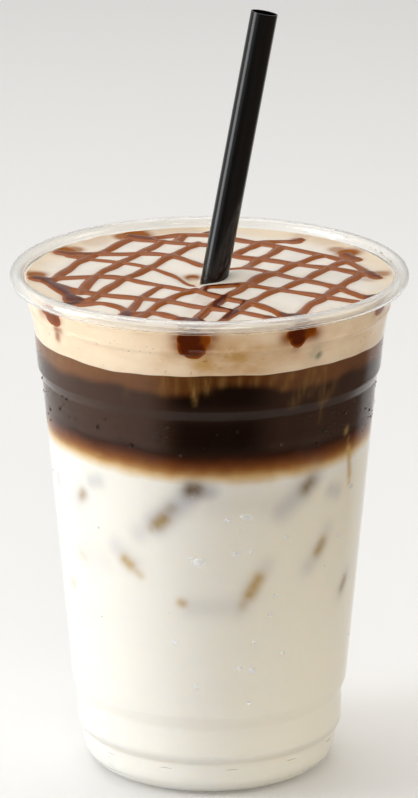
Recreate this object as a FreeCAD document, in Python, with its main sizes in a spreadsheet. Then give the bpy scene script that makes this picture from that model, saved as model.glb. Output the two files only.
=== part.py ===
import FreeCAD, Part
import math
import os
import Sketcher

# Iced coffee in a clear plastic cup: a thin walled tapered cup with a curled rim, milk at the
# bottom, dark coffee above it, a cap of foam up to just under the rim, and a drinking straw.
# Lengths are in millimetres, angles in degrees. The cup stands on its foot ring at height zero,
# with its axis on the vertical axis of the frame.

SIZES = dict(
    # the cup as a whole
    cup_height=127.5,
    rim_diameter=98.0,
    wall_thickness=0.5,
    # the curled rim, and where the curl stops short of the wall
    roll_diameter=3.5,
    curl_share=0.5,
    # upper wall, measured inward from the rim and down from its top
    lip_inset=3.8,
    lip_drop=2.9,
    flare_inset=5.9,
    flare_drop=15.5,
    shoulder_top_inset=6.7,
    shoulder_top_drop=24.1,
    shoulder_base_inset=7.7,
    shoulder_base_drop=26.7,
    # the small bead that a lid would snap over
    bead_drop=8.0,
    bead_height=1.6,
    bead_depth=0.3,
    bead_slope=0.6,
    # foot, base band and the step up to the tapered wall
    foot_diameter=63.4,
    foot_height=8.9,
    foot_wall=1.1,
    foot_rounding=6.2,
    bulge_depth=1.5,
    bulge_rise=1.7,
    bulge_rounding=2.2,
    band_height=19.0,
    band_flare=0.1,
    step_depth=1.1,
    step_rise=3.3,
    corner_rounding=0.9,
    # the raised floor inside the foot ring
    floor_inset=8.3,
    floor_slope=1.5,
    floor_recess=4.6,
    floor_thickness=0.7,
    floor_rounding=0.5,
    # upright grips pressed into the foot
    grip_count=12,
    grip_radius=4.5,
    grip_depth=0.45,
    grip_height=7.6,
    grip_turn=10.0,
    # levels of the drink, from the floor of the frame and down from the rim
    milk_level=88.0,
    foam_drop=2.7,
    foam_depth=12.6,
    # straw
    straw_diameter=6.6,
    straw_wall=0.3,
    straw_length=188.2,
    straw_lean=11.0,
    straw_turn=18.6,
    straw_foot_inset=9.1,
    straw_foot_turn=203.5,
)

doc = FreeCAD.newDocument("iced_coffee")


def add_sheet(sizes):
    """Spreadsheet with one named cell for each size."""
    page = doc.addObject("Spreadsheet::Sheet", "Dims")
    for row, (alias, value) in enumerate(sizes.items(), 1):
        page.set("A%d" % row, alias)
        page.set("B%d" % row, str(value))
        page.setAlias("B%d" % row, alias)
    doc.recompute()
    return page


sheet = add_sheet(SIZES)


def amount(formula):
    """Number that a formula on the named sizes stands for."""
    result = sheet.evalExpression(formula)
    return float(getattr(result, "Value", result))


# formulas shared by the cup and by what fills it
RIM = "(Dims.rim_diameter / 2)"
TOP = "Dims.cup_height"
WALL = "Dims.wall_thickness"
FOOT = "(Dims.foot_diameter / 2)"
ROLL = "(Dims.roll_diameter / 2)"
ROLL_R = "(%s - %s)" % (RIM, ROLL)
ROLL_Z = "(%s - %s)" % (TOP, ROLL)
STEP_TOP = "(Dims.band_height + Dims.step_rise)"
FLOOR_TOP = "(Dims.floor_recess + Dims.floor_thickness)"
FLOOR_RADIUS = "(%s - Dims.floor_inset - Dims.floor_slope + %s)" % (FOOT, WALL)
FOAM_TOP = "(%s - Dims.foam_drop)" % TOP
FOAM_BASE = "(%s - Dims.foam_depth)" % FOAM_TOP


def minus(formula, taken):
    """Formula less another one."""
    return "%s - %s" % (formula, taken) if taken else formula


def flare_radius(drop):
    """Formula of the outer radius of the flared wall at a depth below the rim top."""
    lean = "(Dims.flare_inset - Dims.lip_inset) / (Dims.flare_drop - Dims.lip_drop)"
    return "%s - Dims.lip_inset - (%s - Dims.lip_drop) * %s" % (RIM, drop, lean)


def wall_corners(taken):
    """Corners of the wall from the base band up to the lip, moved inward by a thickness."""
    bead = "Dims.bead_drop"
    foot_of_bead = "(Dims.bead_drop + Dims.bead_height)"
    corners = [
        ("%s + Dims.bulge_depth + Dims.band_flare" % FOOT, "Dims.band_height"),
        ("%s + Dims.bulge_depth + Dims.band_flare + Dims.step_depth" % FOOT, STEP_TOP),
        ("%s - Dims.shoulder_base_inset" % RIM, "%s - Dims.shoulder_base_drop" % TOP),
        ("%s - Dims.shoulder_top_inset" % RIM, "%s - Dims.shoulder_top_drop" % TOP),
        ("%s - Dims.flare_inset" % RIM, "%s - Dims.flare_drop" % TOP),
        (flare_radius(foot_of_bead), "%s - %s" % (TOP, foot_of_bead)),
        (
            flare_radius("(%s - Dims.bead_slope)" % foot_of_bead) + " + Dims.bead_depth",
            "%s - %s + Dims.bead_slope" % (TOP, foot_of_bead),
        ),
        (
            flare_radius("(%s + Dims.bead_slope)" % bead) + " + Dims.bead_depth",
            "%s - %s - Dims.bead_slope" % (TOP, bead),
        ),
        (flare_radius(bead), "%s - %s" % (TOP, bead)),
        ("%s - Dims.lip_inset" % RIM, "%s - Dims.lip_drop" % TOP),
    ]
    return [(minus(radius, taken), height) for radius, height in corners]


def outer_corners():
    """Outer face of the cup, from the middle of its underside up to the lip."""
    return [
        ("0", "Dims.floor_recess"),
        ("%s - Dims.floor_inset - Dims.floor_slope" % FOOT, "Dims.floor_recess"),
        ("%s - Dims.floor_inset" % FOOT, "0"),
        (FOOT, "0"),
        (FOOT, "Dims.foot_height"),
        ("%s + Dims.bulge_depth" % FOOT, "Dims.foot_height + Dims.bulge_rise"),
    ] + wall_corners("")


def inner_corners():
    """Inner face of the cup, from the middle of its floor up to the lip."""
    ledge = "(Dims.foot_height + Dims.foot_wall / 2)"
    return [
        ("0", FLOOR_TOP),
        (FLOOR_RADIUS, FLOOR_TOP),
        ("%s - Dims.floor_inset + 2 * %s" % (FOOT, WALL), "Dims.floor_thickness"),
        ("%s - Dims.foot_wall" % FOOT, "Dims.floor_thickness"),
        ("%s - Dims.foot_wall" % FOOT, ledge),
        ("%s + Dims.bulge_depth - %s" % (FOOT, WALL), "%s + Dims.bulge_rise" % ledge),
    ] + wall_corners(WALL)


def corner_points(corners):
    """Corners as numbers."""
    return [(amount(radius), amount(height)) for radius, height in corners]


def sketch_on(body, name, role):
    """Empty sketch of a body on one of its origin planes."""
    sketch = body.newObject("Sketcher::SketchObject", name)
    plane = next(item for item in body.Origin.OriginFeatures if item.Role == role)
    sketch.AttachmentSupport = [(plane, "")]
    sketch.MapMode = "FlatFace"
    return sketch


def bind(sketch, kind, where, formula):
    """Add one distance or radius to a sketch and tie it to a formula."""
    number = sketch.addConstraint(Sketcher.Constraint(kind, *where, amount(formula)))
    sketch.setExpression("Constraints[%d]" % number, formula)


def pin(sketch, line, end, corner):
    """Hold one end of a line at a corner given by two formulas; an empty one is left free."""
    radius, height = corner
    if radius == "0":
        sketch.addConstraint(Sketcher.Constraint("PointOnObject", line, end, -2))
    elif radius:
        bind(sketch, "DistanceX", (-1, 1, line, end), radius)
    if height == "0":
        sketch.addConstraint(Sketcher.Constraint("PointOnObject", line, end, -1))
    elif height:
        bind(sketch, "DistanceY", (-1, 1, line, end), height)


def add_chain(sketch, corners):
    """Run of joined lines through corners, each held by formulas; gives first and last line."""
    points = [FreeCAD.Vector(x, y, 0) for x, y in corner_points(corners)]
    lines = []
    for start, end in zip(points, points[1:]):
        lines.append(sketch.addGeometry(Part.LineSegment(start, end), False))
    for before, after in zip(lines, lines[1:]):
        sketch.addConstraint(Sketcher.Constraint("Coincident", before, 2, after, 1))
    for line, corner in zip(lines, corners):
        pin(sketch, line, 1, corner)
    return lines[0], lines[-1]


def add_arc(sketch, radius):
    """Arc of the rim curl about the roll centre, from its free edge round to the lip."""
    centre = FreeCAD.Vector(amount(ROLL_R), amount(ROLL_Z), 0)
    turn = math.acos(amount("Dims.curl_share"))
    circle = Part.Circle(centre, FreeCAD.Vector(0, 0, 1), amount(radius))
    arc = sketch.addGeometry(Part.ArcOfCircle(circle, turn - math.pi, math.pi), False)
    bind(sketch, "Radius", (arc,), radius)
    bind(sketch, "DistanceX", (-1, 1, arc, 1), "%s - %s * Dims.curl_share" % (ROLL_R, radius))
    return arc


def join(sketch, first, first_end, second, second_end):
    """Make two ends meet."""
    ends = (first, first_end, second, second_end)
    sketch.addConstraint(Sketcher.Constraint("Coincident", *ends))


def close_with_line(sketch, first, first_end, second, second_end):
    """Straight line between two ends."""
    start = sketch.getPoint(first, first_end)
    end = sketch.getPoint(second, second_end)
    line = sketch.addGeometry(Part.LineSegment(start, end), False)
    join(sketch, first, first_end, line, 1)
    join(sketch, line, 2, second, second_end)
    return line


def draw_cup_outline(sketch):
    """Closed cross-section of the cup: outer face, hollow curl, inner face."""
    outer_lip = ("%s - %s + %s" % (ROLL_R, ROLL, WALL), ROLL_Z)
    inner_lip = ("%s - %s" % (ROLL_R, ROLL), ROLL_Z)
    first, last = add_chain(sketch, outer_corners() + [outer_lip])
    inner_first, inner_last = add_chain(sketch, inner_corners() + [inner_lip])
    inside = add_arc(sketch, "(%s - %s)" % (ROLL, WALL))
    outside = add_arc(sketch, ROLL)
    pin(sketch, outside, 3, (ROLL_R, ROLL_Z))
    join(sketch, inside, 3, outside, 3)
    join(sketch, last, 2, inside, 2)
    join(sketch, inner_last, 2, outside, 2)
    pin(sketch, last, 2, ("", ROLL_Z))
    pin(sketch, inner_last, 2, ("", ROLL_Z))
    close_with_line(sketch, inside, 1, outside, 1)
    close_with_line(sketch, first, 1, inner_first, 1)


def draw_filling_outline(sketch):
    """Closed cross-section of the room inside the cup, up to the lip."""
    inner_lip = ("%s - %s" % (ROLL_R, ROLL), ROLL_Z)
    first, last = add_chain(sketch, inner_corners() + [inner_lip, ("0", ROLL_Z)])
    pin(sketch, last, 2, ("0", ROLL_Z))
    close_with_line(sketch, last, 2, first, 1)


def spin(body, sketch):
    """Full turn of a sketch about the upright axis."""
    turned = body.newObject("PartDesign::Revolution", sketch.Name + "_turned")
    turned.Profile = sketch
    turned.ReferenceAxis = (sketch, ["V_Axis"])
    turned.Angle = 360.0
    doc.recompute()
    return turned


def ring_edges(feature, corners):
    """Names of the round edges of a feature that run through the given corners."""
    names = []
    for number, edge in enumerate(feature.Shape.Edges, 1):
        if not isinstance(edge.Curve, Part.Circle):
            continue
        radius, height = edge.Curve.Radius, edge.Curve.Center.z
        if any(math.hypot(radius - r, height - z) < 0.01 for r, z in corners):
            names.append("Edge%d" % number)
    return names


def round_off(body, name, feature, corners, size):
    """Rounding of the round edges at some corners, its radius tied to a formula."""
    rounded = body.newObject("PartDesign::Fillet", name)
    rounded.Base = (feature, ring_edges(feature, corner_points(corners)))
    rounded.Radius = amount(size)
    rounded.setExpression("Radius", size)
    doc.recompute()
    return rounded


def soften_inside(body, feature, prefix):
    """Roundings shared by the inner face of the cup and by the drink against it."""
    inner = inner_corners()
    rest = "(Dims.foot_rounding - Dims.foot_wall)"
    feature = round_off(body, prefix + "_foot", feature, [inner[3]], rest)
    bulge = "(Dims.bulge_rounding - %s)" % WALL
    feature = round_off(body, prefix + "_bulge", feature, [inner[5]], bulge)
    feature = round_off(body, prefix + "_floor", feature, [inner[1]], "Dims.floor_rounding")
    picked = [inner[6], inner[7], inner[8], inner[9]]
    return round_off(body, prefix + "_steps", feature, picked, "Dims.corner_rounding")


def soften_outside(body, feature, prefix):
    """Roundings of the outer face of the cup."""
    outer = outer_corners()
    feature = round_off(body, prefix + "_foot", feature, [outer[3]], "Dims.foot_rounding")
    feature = round_off(body, prefix + "_bulge", feature, [outer[5]], "Dims.bulge_rounding")
    feature = round_off(body, prefix + "_ring", feature, [outer[2]], "Dims.floor_rounding")
    picked = [outer[6], outer[7], outer[8], outer[9]]
    return round_off(body, prefix + "_steps", feature, picked, "Dims.corner_rounding")


def press_grips(body, feature):
    """Upright hollows round the foot, evenly spaced."""
    sketch = sketch_on(body, "grip_outline", "XY_Plane")
    reach = "(%s + Dims.grip_radius - Dims.grip_depth)" % FOOT
    across = reach + " * cos(Dims.grip_turn * 1deg)"
    along = reach + " * sin(Dims.grip_turn * 1deg)"
    centre = FreeCAD.Vector(amount(across), amount(along), 0)
    circle = Part.Circle(centre, FreeCAD.Vector(0, 0, 1), amount("Dims.grip_radius"))
    ring = sketch.addGeometry(circle, False)
    bind(sketch, "Radius", (ring,), "Dims.grip_radius")
    pin(sketch, ring, 3, (across, along))
    hollow = body.newObject("PartDesign::Pocket", "grip")
    hollow.Profile = sketch
    hollow.Reversed = True
    hollow.setExpression("Length", "Dims.grip_height")
    doc.recompute()
    spread = body.newObject("PartDesign::PolarPattern", "grips")
    spread.Originals = [hollow]
    axis = next(item for item in body.Origin.OriginFeatures if item.Role == "Z_Axis")
    spread.Axis = (axis, [""])
    spread.Angle = 360.0
    spread.setExpression("Occurrences", "Dims.grip_count")
    body.Tip = spread
    doc.recompute()
    return spread


def make_cup():
    """The cup: turned cross-section, softened corners, grips in the foot."""
    body = doc.addObject("PartDesign::Body", "cup")
    body.Label = "cup"
    sketch = sketch_on(body, "cup_outline", "XZ_Plane")
    draw_cup_outline(sketch)
    feature = spin(body, sketch)
    feature = soften_outside(body, feature, "outer")
    feature = soften_inside(body, feature, "inner")
    press_grips(body, feature)
    return body


def make_filling():
    """The whole room inside the cup, which the three drinks share between them."""
    body = doc.addObject("PartDesign::Body", "filling")
    body.Label = "filling"
    sketch = sketch_on(body, "filling_outline", "XZ_Plane")
    draw_filling_outline(sketch)
    soften_inside(body, spin(body, sketch), "filled")
    return body


def straw_placement():
    """Leaning axis of the straw, its lowest point on the raised floor."""
    lean = math.radians(amount("Dims.straw_lean"))
    turn = math.radians(amount("Dims.straw_turn"))
    lift = amount("Dims.straw_diameter / 2") * math.sin(lean)
    reach = amount("%s - Dims.straw_foot_inset" % FOOT)
    side = math.radians(amount("Dims.straw_foot_turn"))
    base = FreeCAD.Vector(reach * math.cos(side), reach * math.sin(side), 0)
    base.z = amount(FLOOR_TOP) + lift
    tilt_axis = FreeCAD.Vector(-math.sin(turn), math.cos(turn), 0)
    return FreeCAD.Placement(base, FreeCAD.Rotation(tilt_axis, math.degrees(lean)))


def make_straw():
    """The straw: an open tube."""
    body = doc.addObject("PartDesign::Body", "straw")
    body.Label = "straw"
    sketch = sketch_on(body, "straw_outline", "XY_Plane")
    outside = "Dims.straw_diameter / 2"
    for size in (outside, outside + " - Dims.straw_wall"):
        circle = Part.Circle(FreeCAD.Vector(0, 0, 0), FreeCAD.Vector(0, 0, 1), amount(size))
        ring = sketch.addGeometry(circle, False)
        join(sketch, ring, 3, -1, 1)
        bind(sketch, "Radius", (ring,), size)
    tube = body.newObject("PartDesign::Pad", "straw_tube")
    tube.Profile = sketch
    tube.setExpression("Length", "Dims.straw_length")
    body.Placement = straw_placement()
    doc.recompute()
    return body


def make_straw_room():
    """Solid bar in the place of the straw, which the drinks are cut round."""
    bar = doc.addObject("Part::Cylinder", "straw_room")
    bar.setExpression("Radius", "Dims.straw_diameter / 2")
    bar.setExpression("Height", "Dims.straw_length")
    bar.Placement = straw_placement()
    return bar


def make_drink(name, filling, bar, low, high):
    """One layer of the drink between two levels, cut round the straw."""
    slab = doc.addObject("Part::Cylinder", name + "_slab")
    slab.setExpression("Radius", RIM)
    slab.setExpression("Height", "%s - %s" % (high, low))
    slab.setExpression("Placement.Base.z", low)
    layer = doc.addObject("Part::Common", name + "_layer")
    layer.Base = filling
    layer.Tool = slab
    drink = doc.addObject("Part::Cut", name)
    drink.Base = layer
    drink.Tool = bar
    drink.Label = name
    doc.recompute()
    return drink


def check_document():
    """Stop if any object is in error or any solid is not sound."""
    for item in doc.Objects:
        if "Invalid" in item.State or "Error" in item.State:
            raise RuntimeError("%s is in error" % item.Name)


def write_node(node):
    """Check one node and write it as a STEP file."""
    shape = node.Shape
    if shape.isNull() or not shape.isValid() or len(shape.Solids) != 1:
        raise RuntimeError("%s is not one sound solid" % node.Label)
    shape.exportStep("parts/%s.step" % node.Label)


cup = make_cup()
filling = make_filling()
straw = make_straw()
bar = make_straw_room()
milk = make_drink("milk", filling, bar, "0", "Dims.milk_level")
coffee = make_drink("coffee", filling, bar, "Dims.milk_level", FOAM_BASE)
foam = make_drink("foam", filling, bar, FOAM_BASE, FOAM_TOP)
doc.recompute()
check_document()
os.makedirs("parts", exist_ok=True)
for node in (cup, milk, coffee, foam, straw):
    write_node(node)
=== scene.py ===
import logging
import math
from dataclasses import dataclass, field
from enum import Enum
from typing import Callable, Sequence

import bmesh
import bpy
import numpy as np
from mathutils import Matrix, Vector


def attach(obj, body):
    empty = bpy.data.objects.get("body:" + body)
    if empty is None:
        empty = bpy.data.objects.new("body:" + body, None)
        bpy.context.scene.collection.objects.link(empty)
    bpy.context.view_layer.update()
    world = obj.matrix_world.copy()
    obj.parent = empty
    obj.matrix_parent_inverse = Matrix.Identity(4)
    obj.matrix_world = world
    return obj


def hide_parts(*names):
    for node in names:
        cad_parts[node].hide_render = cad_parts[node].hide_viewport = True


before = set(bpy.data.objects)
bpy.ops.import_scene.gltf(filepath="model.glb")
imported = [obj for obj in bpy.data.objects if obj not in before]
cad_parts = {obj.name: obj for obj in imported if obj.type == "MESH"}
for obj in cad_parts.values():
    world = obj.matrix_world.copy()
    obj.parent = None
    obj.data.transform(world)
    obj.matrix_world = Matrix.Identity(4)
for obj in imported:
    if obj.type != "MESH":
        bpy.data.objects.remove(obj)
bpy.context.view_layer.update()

LOG = logging.getLogger("iced_coffee")
BODY = "root"
MM = 0.001
INTO_WALL = 0.12
MILK_LEVEL = 88.0
MILK_AT_WALL = 96.0
FOAM_FOOT = 112.3
CAP_LEVEL = 112.0
FOAM_LEVEL = 124.8
TOP_REACH = 0.05
WELD = 1e-7
SHARP_ANGLE = 55.0


class Tone(Enum):
    """Colours of the drink and its cup, as display values from 0 to 255."""

    # warmer milk tone, mixed in as painted warm shade towards the right
    MILK_WARM_SHADE = (246, 240, 224)
    COFFEE = (23, 8, 2)
    # coffee seen through mist on the wall, with painted reflection of the bright sides
    COFFEE_MIST_SHEEN = (78, 57, 47)
    COFFEE_AMBER = (92, 50, 14)
    COFFEE_TOP = (130, 90, 62)
    CREMA = (172, 130, 74)
    AMBER = (206, 172, 112)
    ICE_TAN = (196, 166, 104)
    ICE_DARK = (90, 70, 56)
    ICE_HALO = (186, 187, 195)
    ICE_GREY = (112, 118, 100)
    FOAM_SIDE = (251, 232, 208)
    FOAM_TAN = (208, 167, 108)
    FOAM_TOP = (243, 235, 223)
    FOAM_EDGE = (234, 216, 190)
    STAIN = (150, 82, 5)
    SAUCE = (156, 84, 27)
    SAUCE_DEEP = (88, 31, 5)
    WALL_SAUCE = (160, 80, 12)
    STRAW = (2, 2, 3)
    # painted highlight: white for the drops over the milk
    WATER_HIGHLIGHT = (252, 253, 255)
    # painted shade: brownish tint that darkens the clear beads over the coffee
    BEAD_SHADE = (150, 126, 110)
    PLASTIC = (254, 253, 250)
    FLOOR = (252, 251, 250)
    # painted shade on the floor, reflected as darkness in the front of the cup
    FLOOR_SHADE = (118, 106, 96)
    WHITE = (255, 255, 255)

    def linear(self) -> tuple[float, float, float, float]:
        """Colour in linear light, with full alpha."""
        return as_linear(self.value)


def as_linear(colour: Sequence[int]) -> tuple[float, float, float, float]:
    """Display colour from 0 to 255 as linear light, with full alpha.

    Args:
        colour: red, green and blue.

    Returns:
        Red, green, blue and alpha from 0 to 1.
    """
    parts = [channel / 255 for channel in colour]
    low = [part / 12.92 if part <= 0.04045 else ((part + 0.055) / 1.055) ** 2.4 for part in parts]
    return (low[0], low[1], low[2], 1.0)


@dataclass(frozen=True)
class LayerStop:
    """Colour of the drink at one height in millimetres."""

    height: float
    colour: tuple[int, int, int]


LAYERS = (
    LayerStop(83.6, (245, 243, 238)),
    LayerStop(92.8, (36, 18, 12)),
    LayerStop(84.8, (236, 222, 200)),
    LayerStop(85.8, (218, 190, 144)),
    LayerStop(86.8, (182, 138, 84)),
    LayerStop(87.8, (150, 98, 52)),
    LayerStop(88.8, (124, 73, 36)),
    LayerStop(89.9, (94, 50, 24)),
    LayerStop(91.2, (60, 28, 14)),
)


class Mask(Enum):
    """Names of the values from 0 to 1 that pieces carry on their points."""

    ICE = "ice_core"
    DARK = "ice_dark"
    HALO = "ice_halo"
    STREAK = "streak"
    CREMA = "crema"
    STAIN = "stain"
    DEPTH = "depth"
    # mist on the wall and painted reflection, lighter to the sides of the coffee
    MIST_AND_SHEEN = "mist_and_sheen"
    UPPER = "upper"
    TAN = "tan"


class Sock:
    """A shader value with arithmetic."""

    def __init__(self, tree: "Tree", socket: bpy.types.NodeSocket) -> None:
        """Wrap an output socket of a tree."""
        self.tree = tree
        self.socket = socket

    def _join(self, operation: str, *others: "Sock | float") -> "Sock":
        """Math node on this value and others.

        Args:
            operation: what the node does.
            others: the values it works with.

        Returns:
            The result.
        """
        node = self.tree.add("ShaderNodeMath", {"operation": operation})
        for slot, item in zip(node.inputs, (self, *others)):
            self.tree.feed(slot, item)
        return Sock(self.tree, node.outputs[0])

    def __add__(self, other: "Sock | float") -> "Sock":
        """Sum."""
        return self._join("ADD", other)

    def __sub__(self, other: "Sock | float") -> "Sock":
        """Difference."""
        return self._join("SUBTRACT", other)

    def __mul__(self, other: "Sock | float") -> "Sock":
        """Product."""
        return self._join("MULTIPLY", other)

    def __truediv__(self, other: "Sock | float") -> "Sock":
        """Quotient."""
        return self._join("DIVIDE", other)

    def __rsub__(self, other: float) -> "Sock":
        """A number less this value."""
        return (self * -1.0) + other

    __radd__ = __add__
    __rmul__ = __mul__

    def clamp(self) -> "Sock":
        """Value held between 0 and 1."""
        return self._join("MAXIMUM", 0.0)._join("MINIMUM", 1.0)

    def power(self, exponent: float) -> "Sock":
        """Value raised to a power."""
        return self._join("POWER", exponent)


class Tree:
    """Builder of one material's nodes."""

    def __init__(self, name: str) -> None:
        """Start an empty material.

        Args:
            name: name of the material.
        """
        self.material = bpy.data.materials.new(name)
        self.material.use_nodes = True
        self.tree = self.material.node_tree
        self.tree.nodes.clear()

    def add(self, kind: str, settings: dict | None = None, sockets: dict | None = None) -> bpy.types.Node:
        """One node with its settings and inputs.

        Args:
            kind: type name of the node.
            settings: properties to set on it.
            sockets: values or links for its inputs, by name.

        Returns:
            The node.
        """
        node = self.tree.nodes.new(kind)
        for key, value in (settings or {}).items():
            setattr(node, key, value)
        for key, value in (sockets or {}).items():
            self.feed(node.inputs[key], value)
        return node

    def feed(self, slot: bpy.types.NodeSocket, item: "Sock | Tone | float | tuple") -> None:
        """Set or link one input.

        Args:
            slot: the input.
            item: a wrapped value to link, a tone, or a constant.
        """
        if isinstance(item, Sock):
            self.tree.links.new(item.socket, slot)
        elif isinstance(item, Tone):
            slot.default_value = item.linear()
        else:
            slot.default_value = item

    def out(self, node: bpy.types.Node, name: str | int = 0) -> Sock:
        """Wrapped output of a node."""
        return Sock(self, node.outputs[name])

    def place(self) -> Sock:
        """Point on the piece in its own coordinates."""
        return self.out(self.add("ShaderNodeTexCoord"), "Object")

    def axes(self) -> tuple[Sock, Sock, Sock]:
        """The three coordinates in millimetres."""
        split = self.add("ShaderNodeSeparateXYZ", sockets={0: self.place()})
        return tuple(self.out(split, index) * (1 / MM) for index in range(3))

    def noise(self, size: float, detail: float = 2.0, stretch: tuple = (1.0, 1.0, 1.0)) -> Sock:
        """Noise between about 0 and 1.

        Args:
            size: size of its patches in millimetres.
            detail: octaves.
            stretch: how far patches are squeezed along each axis.

        Returns:
            The noise value.
        """
        scale = tuple(part / (size * MM) for part in stretch)
        spread = self.add("ShaderNodeVectorMath", {"operation": "MULTIPLY"}, {0: self.place(), 1: scale})
        sockets = {"Vector": self.out(spread), "Scale": 1.0, "Detail": detail}
        node = self.add("ShaderNodeTexNoise", sockets=sockets)
        return self.out(node, "Fac")

    def mask(self, mask: Mask) -> Sock:
        """Value that the piece carries on its points."""
        return self.out(self.add("ShaderNodeAttribute", {"attribute_name": mask.value}), "Fac")

    def ramp(self, value: Sock, low: float, high: float) -> Sock:
        """Smooth rise from 0 to 1 between two limits.

        Args:
            value: what is measured.
            low: limit below which the result is 0.
            high: limit above which it is 1.

        Returns:
            The rise.
        """
        settings = {"interpolation_type": "SMOOTHSTEP"}
        node = self.add("ShaderNodeMapRange", settings, {"Value": value, "From Min": low, "From Max": high})
        return self.out(node)

    def mix(self, first: "Sock | Tone", second: "Sock | Tone", factor: "Sock | float") -> Sock:
        """Blend of two colours.

        Args:
            first: colour where the factor is 0.
            second: colour where it is 1.
            factor: share of the second colour.

        Returns:
            The blend.
        """
        node = self.add("ShaderNodeMix", {"data_type": "RGBA"})
        self.feed(node.inputs[0], factor)
        self.feed(node.inputs[6], first)
        self.feed(node.inputs[7], second)
        return self.out(node, 2)

    def bands(self, value: Sock, stops: "Sequence[LayerStop]") -> Sock:
        """Colour that changes with height.

        Args:
            value: height in millimetres.
            stops: heights and their colours, the lowest and highest first.

        Returns:
            The colour.
        """
        low, high = stops[0].height, stops[1].height
        node = self.add("ShaderNodeValToRGB", sockets={0: ((value - low) / (high - low)).clamp()})
        steps = node.color_ramp.elements
        for index, stop in enumerate(stops):
            place = (stop.height - low) / (high - low)
            step = steps[index] if index < 2 else steps.new(place)
            step.position = place
            step.color = as_linear(stop.colour)
        return self.out(node)

    def bump(self, height: Sock, depth: float, strength: float = 1.0) -> Sock:
        """Normal roughened by a height.

        Args:
            height: value from 0 to 1.
            depth: relief in millimetres.
            strength: share of the effect.

        Returns:
            The normal.
        """
        sockets = {"Height": height, "Distance": depth * MM, "Strength": strength}
        return self.out(self.add("ShaderNodeBump", sockets=sockets))

    def principled(self, sockets: dict) -> Sock:
        """Principled shader with the given inputs."""
        return self.out(self.add("ShaderNodeBsdfPrincipled", sockets=sockets))

    def blend(self, first: Sock, second: Sock, share: Sock) -> Sock:
        """Mix of two shaders."""
        node = self.add("ShaderNodeMixShader", sockets={0: share, 1: first, 2: second})
        return self.out(node)

    def finish(self, shader: Sock) -> bpy.types.Material:
        """Link the surface and hand the material over."""
        self.add("ShaderNodeOutputMaterial", sockets={"Surface": shader})
        return self.material

    def finish_clear(self, shader: Sock) -> bpy.types.Material:
        """As finish, but light meant for what is inside passes straight through."""
        shadow = self.out(self.add("ShaderNodeLightPath"), "Is Shadow Ray")
        return self.finish(self.blend(shader, self.out(self.add("ShaderNodeBsdfTransparent")), shadow))


def coffee_colour(tree: Tree) -> Sock:
    """Colour of the coffee: near black in front, paler on top, and lighter to the sides, partly from mist on
    the wall and partly a painted reflection of the bright studio.

    Args:
        tree: nodes of the material it is for.

    Returns:
        The colour.
    """
    # mist on the wall plus painted reflection: lighter to the sides, strongest to the left
    mist_and_sheen = (tree.mask(Mask.MIST_AND_SHEEN) * (0.72 + tree.noise(14.0) * 0.5)).clamp()
    body = tree.mix(Tone.COFFEE, Tone.COFFEE_MIST_SHEEN, mist_and_sheen)
    upper = tree.mix(Tone.COFFEE_AMBER, Tone.COFFEE_TOP, mist_and_sheen)
    swirl = (0.45 + tree.noise(8.0, 3.0, (1.0, 1.0, 2.0)) * 0.95).clamp()
    return tree.mix(body, upper, tree.mask(Mask.UPPER) * swirl)


def milk_colour(tree: Tree) -> Sock:
    """Colour of the milk at the wall, up to where it has run into the coffee, with painted warm shade towards
    the right.

    Args:
        tree: nodes of the material it is for.

    Returns:
        The colour.
    """
    across, _, height = tree.axes()
    higher = tree.ramp(across * -1.0, 4.0, 32.0) * 1.9 + tree.ramp(across, 26.0, 40.0) * 0.8
    height = height - higher + (tree.noise(16.0) - 0.5) * 2.2 + (tree.noise(3.5) - 0.5) * 0.8
    # painted warm shade: warmer towards the right, away from the key light, and only below about 80 mm where
    # the milk's own tone is warmer
    warm = tree.ramp(across, -8.0, 26.0) * (1.0 - tree.ramp(height, 78.0, 84.0)) * 0.7
    colour = tree.mix(tree.bands(height, LAYERS), Tone.MILK_WARM_SHADE, warm)
    colour = tree.mix(colour, coffee_colour(tree), tree.ramp(height, 90.6, 93.4))
    cloud = ((tree.noise(18.0) - 0.5) * 0.9).clamp()
    colour = tree.mix(colour, Tone.ICE_HALO, (tree.mask(Mask.HALO) * 0.85 + cloud * 0.14).clamp())
    ice = tree.mix(Tone.ICE_TAN, Tone.ICE_DARK, tree.mask(Mask.DARK))
    grain = 0.75 + tree.noise(1.6) * 0.5
    colour = tree.mix(colour, ice, (tree.mask(Mask.ICE) * grain).clamp())
    return tree.mix(colour, Tone.AMBER, tree.mask(Mask.STREAK))


@dataclass(frozen=True)
class MilkFinish:
    """Milk against the wall, with the ice that shows through it."""

    name: str = "milk_finish"
    roughness: float = 0.4
    depth: float = 4.0

    def build(self) -> bpy.types.Material:
        """Material of the milk and of the ice in it.

        Returns:
            The material.
        """
        tree = Tree(self.name)
        inputs = {
            "Base Color": milk_colour(tree),
            "Roughness": self.roughness,
            "Specular IOR Level": 0.0,
            "Subsurface Weight": 1.0,
            "Subsurface Radius": (1.0, 0.9, 0.75),
            "Subsurface Scale": self.depth * MM,
        }
        plain = {"Base Color": coffee_colour(tree), "Roughness": 0.3, "Specular IOR Level": 0.0}
        share = tree.ramp(tree.axes()[2], 92.5, 95.5)
        return tree.finish(tree.blend(tree.principled(inputs), tree.principled(plain), share))


@dataclass(frozen=True)
class CoffeeFinish:
    """Coffee, paler under the foam, with streaks of crema hanging into it."""

    name: str = "coffee_finish"
    roughness: float = 0.3

    def build(self) -> bpy.types.Material:
        """Material of the coffee.

        Returns:
            The material.
        """
        tree = Tree(self.name)
        colour = coffee_colour(tree)
        threads = tree.ramp(tree.noise(1.5, 3.0, (1.0, 1.0, 0.14)), 0.36, 0.66)
        crema = tree.mask(Mask.CREMA) * (0.3 + threads * 0.7)
        colour = tree.mix(colour, Tone.CREMA, crema.clamp())
        inputs = {
            "Base Color": colour,
            "Roughness": self.roughness,
            "Specular IOR Level": 0.0,
        }
        return tree.finish(tree.principled(inputs))


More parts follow.
